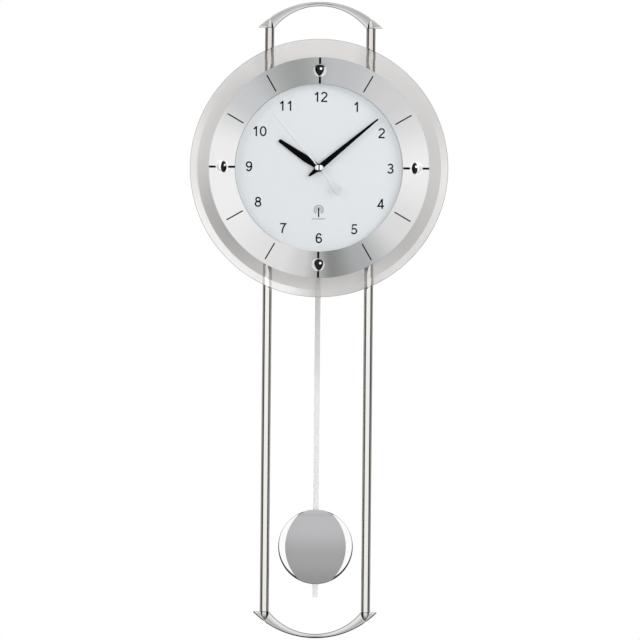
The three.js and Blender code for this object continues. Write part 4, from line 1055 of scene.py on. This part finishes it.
# Centre lines of the figures, in heights of a figure: open lines first, then closed loops
figure_lines = {
    "0": ([], [rounded(0.27, 0.437, 0, 350, 35, 0.33, 0.5)]),
    "1": ([[(0.15, 0.72), (0.3, 0.8), (0.4, 0.93)], [(0.42, 0), (0.42, 1)]], []),
    "2": ([rounded(0.25, 0.235, 168, -28, 16, 0.32, 0.702) +
           [(0.1, 0.14), (0.075, 0.0625), (0.63, 0.0625)]], []),
    "3": ([rounded(0.215, 0.205, 160, -84, 16, 0.31, 0.732) +
           rounded(0.25, 0.232, 84, -162, 16, 0.31, 0.295)], []),
    "4": ([[(0.66, 0.26), (0.07, 0.26), (0.46, 0.93)], [(0.48, 0), (0.48, 1)]], []),
    "5": ([[(0.6, 0.9375), (0.19, 0.9375), (0.115, 0.47)] +
           rounded(0.26, 0.255, 138, -160, 18, 0.315, 0.318)], []),
    "6": ([rounded(0.265, 0.437, 38, 192, 14, 0.345, 0.5)],
          [rounded(0.25, 0.252, 0, 345, 23, 0.335, 0.315)]),
    "7": ([[(0.05, 0.9375), (0.61, 0.9375), (0.43, 0.68), (0.31, 0.4), (0.25, 0)]], []),
    "8": ([], [rounded(0.212, 0.2, 0, 345, 23, 0.33, 0.7375),
               rounded(0.262, 0.235, 0, 345, 23, 0.33, 0.2975)]),
    "9": ([rounded(0.265, 0.437, 218, 372, 14, 0.315, 0.5)],
          [rounded(0.25, 0.252, 0, 345, 23, 0.325, 0.685)]),
}


def beside(points, offset, closed):
    moved = []
    count = len(points)
    for i, (x, y) in enumerate(points):
        before = points[(i - 1) % count] if closed or i else points[i]
        after = points[(i + 1) % count] if closed or i < count - 1 else points[i]
        ways = []
        for start, finish in ((before, (x, y)), ((x, y), after)):
            way = Vector((finish[0] - start[0], finish[1] - start[1]))
            if way.length > 1e-9:
                ways.append(way.normalized())
        normal = sum((Vector((-way.y, way.x)) for way in ways), Vector((0, 0))).normalized()
        reach = offset / max(0.5, normal.dot(Vector((-ways[0].y, ways[0].x))))
        moved.append((x + normal.x * reach, y + normal.y * reach))
    return moved


def stroked(points, closed):
    half = number_stroke / 2
    left, right = beside(points, half, closed), beside(points, -half, closed)
    return [left, right] if closed else [left + right[::-1]]


def placed_number(hour, contour, middle_x):
    centre_x, centre_y = around(number_radius, 30 * hour + print_turn)
    return [(centre_x + print_shift + (x - middle_x) * number_height,
             centre_y + print_lift + (y - 0.5) * number_height) for x, y in contour]


figures = []
for hour in range(1, 13):
    strokes = []
    for place, digit in enumerate(str(hour)):
        lines, loops = figure_lines[digit]
        for points, closed in [(line, False) for line in lines] + [(loop, True) for loop in loops]:
            shifted = [(x + place * number_advance, y) for x, y in points]
            strokes.append(stroked(shifted, closed))
    widths = [x for stroke in strokes for x, _ in stroke[0]]
    middle_x = (max(widths) + min(widths)) / 2
    for layer, stroke in enumerate(strokes):
        placed = [placed_number(hour, contour, middle_x) for contour in stroke]
        top = dial_front + print_height - 0.01 * layer
        figures.append(flat_mesh("figure", placed, dial_front, top, 0.015, number_ink))
numbers = merge_meshes("numbers", figures)
numbers.transform(standing)
fit_piece("printed_numbers", numbers, "clock", "hand_lacquer")


def arc_band(middle, radius, width, start, end):
    points = []
    for edge, first, last in ((radius + width / 2, start, end), (radius - width / 2, end, start)):
        points += rounded(edge, edge, first, last, 10, 0, middle)
    return points


mast_ink = worked_material("mast_ink", (0.025, 0.026, 0.028), 0.5, scale=1800, shade=0.2, relief=2,
                           settings={"Specular IOR Level": 0.1})
ring_ink = worked_material("ring_ink", (0.46, 0.48, 0.49), 0.5, scale=1800, shade=0.06, relief=2)
mast_top = -44.0
mast_foot = -54.1
mast_middle = -46.2
mast_width = 1.5
head_radius = 1.15
ground_line = (14.8, -56.4, -55.9)
mast_shapes = [(bar_outline(mast_width, mast_foot, mast_top), mast_ink),
               (rounded(head_radius, head_radius, 0, 330, 11, 0, mast_middle + 0.3), mast_ink),
               (bar_outline(*ground_line), mast_ink)]
for ring_size, band_width in ((2.7, 1.1), (4.8, 1.7)):
    mast_shapes.append((arc_band(mast_middle, ring_size, band_width, -55, 235), ring_ink))
mast = merge_meshes("mast", [flat_mesh("mast", [shape], dial_front, dial_front + print_height, 0.02, ink)
                             for shape, ink in mast_shapes])
mast.transform(standing)
fit_piece("printed_mast", mast, "clock", "hand_lacquer")

# Bush fixings: the zinc-plated washer and the brass nut that clamp the movement through the
# housing and the glass.
dress(zinc_steel, "fixing_washer")
brass = worked_material("brass", (0.71, 0.5, 0.18), 0.28, metallic=1, scale=900, shade=0.12, rub=0.15,
                        relief=3)
dress(brass, "fixing_nut")

# Wheel train: moulded acetal wheels with long tubes for the hands, on a moulded bridge. The
# rotor is a sintered magnet moulded to its pinion, and turns in a steel lamination.
wheel_plastic = worked_material("wheel_plastic", (0.78, 0.76, 0.70), 0.4, scale=3000, shade=0.05,
                                settings={"Subsurface Weight": 0.05})
dress(wheel_plastic, "hour_wheel", "centre_wheel", "seconds_wheel", "third_wheel", "minute_wheel",
      "intermediate_wheel")
magnet_alloy = worked_material("magnet_alloy", (0.14, 0.14, 0.145), 0.42, metallic=0.9, scale=1200,
                               shade=0.4, rub=0.2, relief=8)
dress(magnet_alloy, "rotor", "drive_magnet")
lamination = worked_material("lamination_steel", (0.42, 0.43, 0.44), 0.38, metallic=1, scale=600,
                             shade=0.2, rub=0.2, relief=3, stretch=(1, 1, 0.2))
dress(lamination, "stator")
movement_plastic = worked_material("movement_plastic", (0.022, 0.023, 0.025), 0.4, scale=2200, shade=0.4,
                                   rub=0.2, relief=30)
dress(movement_plastic, "train_bridge")

# Coils: enamelled copper wound in close turns on the motor's core, on the drive coil's post and
# on the antenna's rod.
def coil_material(name, axis):
    material = worked_material(name, (0.60, 0.22, 0.08), 0.3, metallic=1, shade=0.2, relief=4)
    tree = material.node_tree
    turns = output_of(tree, "ShaderNodeTexWave", {"Scale": 1600, "Vector": coordinate(tree)}, "Color",
                      bands_direction=axis)
    set_shader(tree, {"Normal": output_of(tree, "ShaderNodeBump", {
        "Distance": 0.00006, "Height": turns, "Normal": tree.nodes["grain"].outputs["Normal"]})})
    return material


dress(coil_material("coil_wire", "X"), "motor_coil", "antenna_coil")
dress(coil_material("drive_coil_wire", "Y"), "pendulum_coil")

# Radio and power: the green circuit board, the ferrite rod of the antenna, one sleeved cell and
# its two spring contacts.
dress(worked_material("board", (0.02, 0.12, 0.05), 0.35, scale=260, shade=0.5, rub=0.15), "circuit_board")
dress(worked_material("ferrite", (0.028, 0.027, 0.028), 0.6, scale=1600, shade=0.5, rub=0.2, relief=20),
      "ferrite_antenna")
spring_steel = worked_material("contact_nickel", (0.68, 0.67, 0.64), 0.25, metallic=1, scale=800,
                               rub=0.15, relief=3)
dress(spring_steel, "battery_contact_plus", "battery_contact_minus")

battery_sleeve = worked_material("battery_sleeve", (0.06, 0.16, 0.27), 0.28, scale=900, shade=0.08,
                                 relief=4, settings={"Coat Weight": 0.4})
battery_low, battery_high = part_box("battery")
battery_radius = (battery_high[1] - battery_low[1]) / 2 * 1000
battery_length = (battery_high[0] - battery_low[0]) * 1000
nub_height = 1.2
nub_radius = 2.75
nub_edge = 0.3
sleeve_fold = 0.35
bare_end = 6.3
battery_body = battery_length - nub_height
battery_profile = [(0, 0), (5.5, 0), (5.7, 0.25), (6.5, 0.25), (battery_radius - sleeve_fold, 0.1)]
battery_profile += [(battery_radius, 0.5), (battery_radius, battery_body - 0.5),
                    (battery_radius - sleeve_fold, battery_body - 0.1), (6.2, battery_body - 0.3),
                    (5.4, battery_body), (nub_radius, battery_body),
                    (nub_radius, battery_length - nub_edge), (nub_radius - nub_edge, battery_length),
                    (0, battery_length)]
battery = turned_mesh("battery", battery_profile, 48, battery_sleeve)
battery.materials.append(spring_steel)
paint_faces(battery, 1, lambda spot: math.hypot(spot.x, spot.y) < bare_end
            and (spot.z < 0.4 or spot.z > battery_body - 0.45))
battery.transform(Matrix.Scale(0.001, 4))
battery.transform(Matrix.Rotation(math.pi / 2, 4, "Y"))
battery.transform(Matrix.Translation((battery_low[0], (battery_low[1] + battery_high[1]) / 2,
                                      (battery_low[2] + battery_high[2]) / 2)))
shade_by_angle(battery, 20)
fit_piece("sleeved_cell", battery, "clock", "battery_sleeve", "battery")

# Movement case: a tray and a snap-on cover moulded in black plastic, with three grey push
# buttons that work switches on the board.
smoothed_copy("case_tray", "movement_case", "clock", "movement_plastic", movement_plastic)
smoothed_copy("case_cover", "movement_cover", "clock", "movement_plastic", movement_plastic)
button_plastic = worked_material("button_plastic", (0.36, 0.37, 0.38), 0.4, scale=2400, shade=0.1,
                                 rub=0.15)
button_radius = 2.4
collar_radius = 3.3
collar_back = 3.5
collar_front = 4.3
plunger_radius = 1.4
for word in ("set", "receive", "reset"):
    low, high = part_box(word + "_button")
    centre_x = (low[0] + high[0]) / 2 * 1000
    centre_y = (low[2] + high[2]) / 2 * 1000 + hanging_height
    back = -high[1] * 1000
    front = -low[1] * 1000
    profile = [(0, back), (1.6, back + 0.1)] + rounded(0.4, 0.4, -90, 0, 4, 2.0, back + 0.5)
    profile += [(button_radius, back + collar_back), (collar_radius, back + collar_back),
                (collar_radius, back + collar_front), (plunger_radius, back + collar_front),
                (plunger_radius, front - 0.2), (plunger_radius - 0.2, front), (0, front)]
    button = turned_mesh(word + "_button", profile, 36, button_plastic, centre_x, centre_y)
    stand_piece(word + "_push_cap", button, word + "_key", "button_plastic", word + "_button")

# Pendulum: a white leader with the drive magnet swings on a steel pin. A clear strip hooks on to
# it and carries a clear round bob with a satin plate on its front, held by a spring clip.
dress(zinc_steel, "pivot_pin", "bob_clip")
leader_plastic = worked_material("leader_plastic", (0.74, 0.73, 0.70), 0.42, scale=2200, shade=0.06,
                                 rub=0.15)
smoothed_copy("pendulum_hanger", "pendulum_leader", "pendulum", "leader_plastic", leader_plastic)

rod_back = 16.7
rod_front = 18.7
rod_half = 3.0
hook_drop = 50.0
rod_end = 474.1
hook_hole = 1.5
clear_strip = worked_material("clear_strip", (0.95, 0.955, 0.965), 0.25, scale=160, shade=0.03, rub=0.08,
                              relief=2, settings={"Transmission Weight": 0.75, "IOR": 1.49})
strip_outline = rounded(rod_half, rod_half, 0, 180, 16, 0, -hook_drop)
strip_outline += rounded(rod_half, rod_half, 180, 360, 16, 0, -rod_end + rod_half)
strip_hole = rounded(hook_hole, hook_hole, 0, 345, 23, 0, -hook_drop)
strip = flat_mesh("strip", [strip_outline, strip_hole], rod_back, rod_front, 0.25, clear_strip, 2)
stand_piece("clear_rod", strip, "pendulum", "pendulum_glass", "pendulum_rod")

bob_tint = (0.97, 0.972, 0.975)
pendulum_glass = glass_material("pendulum_glass", bob_tint, 0.0)
bob_drop = 417.9
bob_radius = 41.2
bob_back = 19.0
bob_front = 22.0
bob_edge = 0.6
bob_pencil = 3.0
crescent_lift = 0.0016
painted_corner_shade = [(0.0, 0), (0.85, 0), (0.875, 1), (0.93, 1), (0.95, 0), (1.0, 0)]
bob_profile = [(0, bob_back), (bob_radius - bob_edge, bob_back)]
bob_profile += rounded(bob_edge, bob_edge, -90, 0, 3, bob_radius - bob_edge, bob_back + bob_edge)[1:]
bob_profile += rounded(bob_edge, bob_edge, 0, 90, 3, bob_radius - bob_edge, bob_front - bob_edge)
bob_profile += [(bob_radius - bob_pencil, bob_front), (0, bob_front)]


# The bob's rim is painted dark glass: a thin dark line round the edge, a dark crescent along the lower
# edge and short dark arcs high on both sides, painted shade for a polished glass edge
def bob_rim_material():
    material = glass_material("bob_rim", bob_tint, 0.05)
    tree = material.node_tree
    middle = Vector((0, 0, -(bob_drop + hanging_height) / 1000))

    def beyond(centre, radius, softness):
        flat = vector_math(tree, "MULTIPLY_ADD", coordinate(tree), (1, 0, 1), -centre)
        away = vector_math(tree, "LENGTH", flat, result="Value")
        return spread(tree, away, radius / 1000 - softness, radius / 1000 + softness)

    line = mix_colours(tree, beyond(middle, bob_radius - 0.5, 0.00005), bob_tint, 0.4)
    height = compute(tree, "MULTIPLY_ADD", split(tree, coordinate(tree))["Z"], 1000 / bob_radius,
                     -middle.z * 1000 / bob_radius)
    low = beyond(middle + Vector((0, 0, crescent_lift)), bob_radius - 0.95, 0.00015)
    high = compute(tree, "MULTIPLY", ramp(tree, height, painted_corner_shade),
                   beyond(middle, bob_radius - 1.3, 0.0001))
    painted_dark_crescent = compute(tree, "MAXIMUM", low, high)
    set_shader(tree, {"Base Color": mix_colours(tree, painted_dark_crescent, line, 0.0003)})
    return material


bob = turned_mesh("bob", bob_profile, 192, pendulum_glass, 0, -bob_drop)
bob.materials.append(bob_rim_material())
paint_faces(bob, 1, lambda spot: spot.z > bob_back + bob_edge
            and math.hypot(spot.x, spot.y + bob_drop) > bob_radius - bob_pencil)
stand_piece("bob_glass", bob, "pendulum", "pendulum_glass", "bob_disc")

plate_back = 22.3
plate_front = 23.3
plate_end = bob_radius - bob_edge
plate_half_width = 33.5
plate_side = 50.5
# Painted shade on the plate: darker towards the bottom, with a darker band near its top
plate_painted_shade = [(0.0, (0.36, 0.36, 0.36)), (0.35, (0.44, 0.435, 0.435)), (0.75, (0.56, 0.56, 0.575)),
               (0.9, (0.55, 0.55, 0.56)), (0.93, (0.5, 0.5, 0.505)), (0.95, (0.55, 0.55, 0.55)),
               (1.0, (0.56, 0.56, 0.56))]


def plate_outline():
    offset = plate_side - plate_half_width
    corner_x = (plate_side ** 2 - plate_end ** 2 - offset ** 2) / (2 * offset)
    corner_y = math.sqrt(plate_end ** 2 - corner_x ** 2)
    reach = math.degrees(math.atan2(corner_y, corner_x + offset))
    start = math.degrees(math.atan2(corner_y, corner_x))
    half = rounded(plate_side, plate_side, -reach, reach, 40, -offset)
    half += rounded(plate_end, plate_end, start, 180 - start, 28)[1:-1]
    return [(x, y - bob_drop) for x, y in half + [(-x, -y) for x, y in half]]


def plate_material():
    material = worked_material("plate_nickel", (0.4, 0.4, 0.41), 0.42, metallic=1, shade=0.05, relief=3,
                               stretch=(0.05, 1, 1))
    tree = material.node_tree
    height = spread(tree, split(tree, coordinate(tree))["Z"],
                    -(bob_drop + bob_radius + hanging_height) / 1000,
                    -(bob_drop - bob_radius + hanging_height) / 1000)
    recolour(material, ramp(tree, height, plate_painted_shade))
    return material


plate = flat_mesh("plate", [plate_outline()], plate_back, plate_front, 0.15, plate_material(), 2)
stand_piece("satin_plate", plate, "pendulum", "plate_nickel", "bob_plate")

# Hands: stamped sheet, black lacquered for the hours and minutes and silver lacquered for the
# seconds, each pressed on its own tube, with a turned chromed cap over the middle.
hand_lacquer = worked_material("hand_lacquer", (0.002, 0.002, 0.0025), 0.45, scale=1200, shade=0.3,
                               relief=2, settings={"Specular IOR Level": 0.03})
hour_back = 63.3
minute_back = 65.4
second_back = 67.5
cap_back = 68.2
blade_thickness = 0.6
second_thickness = 0.4
hour_degrees = 304
minute_degrees = 50
second_degrees = 319.7
needle_tone = (0.95, 0.95, 0.95)
tail_painted_shade = (0.72, 0.745, 0.765)


# The seconds hand is painted greyer along its tail, painted shade; the needle keeps its light silver
def second_lacquer():
    material = worked_material("silver_lacquer", needle_tone, 0.4, metallic=0.1, scale=2000, shade=0.06,
                               relief=2)
    tree = material.node_tree
    turn = math.radians(second_degrees)
    tail = Vector((-math.sin(turn), 0, -math.cos(turn)))
    middle = Vector((0, 0, -hanging_height / 1000))
    down_tail = vector_math(tree, "DOT_PRODUCT", coordinate(tree), tail, result="Value")
    share = spread(tree, down_tail, middle.dot(tail) + 0.006, middle.dot(tail) + 0.03)
    recolour(material, ramp(tree, share, [(0.0, needle_tone), (1.0, tail_painted_shade)]))
    return material


silver_lacquer = second_lacquer()


def fit_hand(name, shape, bore, back, thickness, degrees, material, body, slot, node):
    hub_radius = bore + 1.2
    hub = rounded(hub_radius, hub_radius, 0, 345, 23)
    blade = flat_mesh("blade", [shape], back, back + thickness, 0.1, material)
    boss = flat_mesh("boss", [hub], back, back + thickness, 0.1, material)
    whole = combined(blade, boss, "UNION")
    whole = drilled(whole, [(bore, 0, 0)], back, back + thickness)
    whole.materials.clear()
    whole.materials.append(material)
    whole.transform(Matrix.Rotation(math.radians(-degrees), 4, "Z"))
    stand_piece(name, whole, body, slot, node)


hour_bore = 2.85
hour_length = 53.5
hour_tip = 2.0
hour_foot = 2.7
hour_widest = 3.95
hour_shape = [(-hour_foot, 0), (hour_foot, 0), (hour_widest, 19)]
hour_shape += rounded(hour_tip, hour_tip, 0, 180, 10, 0, hour_length - hour_tip) + [(-hour_widest, 19)]
fit_hand("hour_blade", hour_shape, hour_bore, hour_back, blade_thickness, hour_degrees, hand_lacquer,
         "hour_works", "hand_lacquer", "hour_hand")
minute_bore = 1.9
minute_length = 84.0
minute_tip = 0.9
minute_half = 3.3
minute_tail = 14.5
tail_end = 1.25
minute_shape = [(minute_half, 0)]
minute_shape += rounded(minute_tip, minute_tip, 0, 180, 10, 0, minute_length - minute_tip)
minute_shape += [(-minute_half, 0)] + rounded(tail_end, tail_end, 180, 360, 8, 0, tail_end - minute_tail)
fit_hand("minute_blade", minute_shape, minute_bore, minute_back, blade_thickness, minute_degrees,
         hand_lacquer, "minute_works", "hand_lacquer", "minute_hand")
second_bore = 0.9
second_shape = [(0.65, 0), (0.35, 78), (-0.35, 78), (-0.65, 0), (-0.72, -15), (-4.3, -31), (-3.44, -37),
                (4.3, -34), (0.72, -15)]
fit_hand("second_needle", second_shape, second_bore, second_back, second_thickness, second_degrees,
         silver_lacquer, "second_works", "silver_lacquer", "second_hand")

cap_radius = 4.5
cap_rise = 3.0
cap_profile = [(0, cap_back)] + rounded(cap_radius, cap_rise, 0, 90, 14, 0, cap_back)[:-1]
cap_profile += [(0, cap_back + cap_rise)]
# Painted reflection on the cap: a dark stripe down the middle, dark at top and bottom, and a glow painted
# on the bright part
cap_painted_reflection = {"X": [(0.0, 0.01), (0.09, 0.02), (0.16, 1.0), (1.0, 1.0)],
             "Z": [(0.0, 1.0), (0.38, 1.0), (0.52, 0.01), (1.0, 0.01)]}


def cap_chrome():
    material = worked_material("cap_chrome", (0.95, 0.95, 0.95), 0.05, metallic=0.7, scale=500,
                               shade=0.02, rub=0.02, relief=0.5)
    tree = material.node_tree
    facing = split(tree, coordinate(tree, "Normal"))
    painted_bands = [ramp(tree, compute(tree, "ABSOLUTE", facing[axis]), tones)
             for axis, tones in cap_painted_reflection.items()]
    painted_reflection = vector_math(tree, "MULTIPLY", *painted_bands)
    recolour(material, painted_reflection)
    set_shader(tree, {"Emission Color": painted_reflection, "Emission Strength": 0.35})
    return material


cap = turned_mesh("cap", cap_profile, 48, cap_chrome())
stand_piece("centre_cap", cap, "second_works", "chrome", "hand_cap")
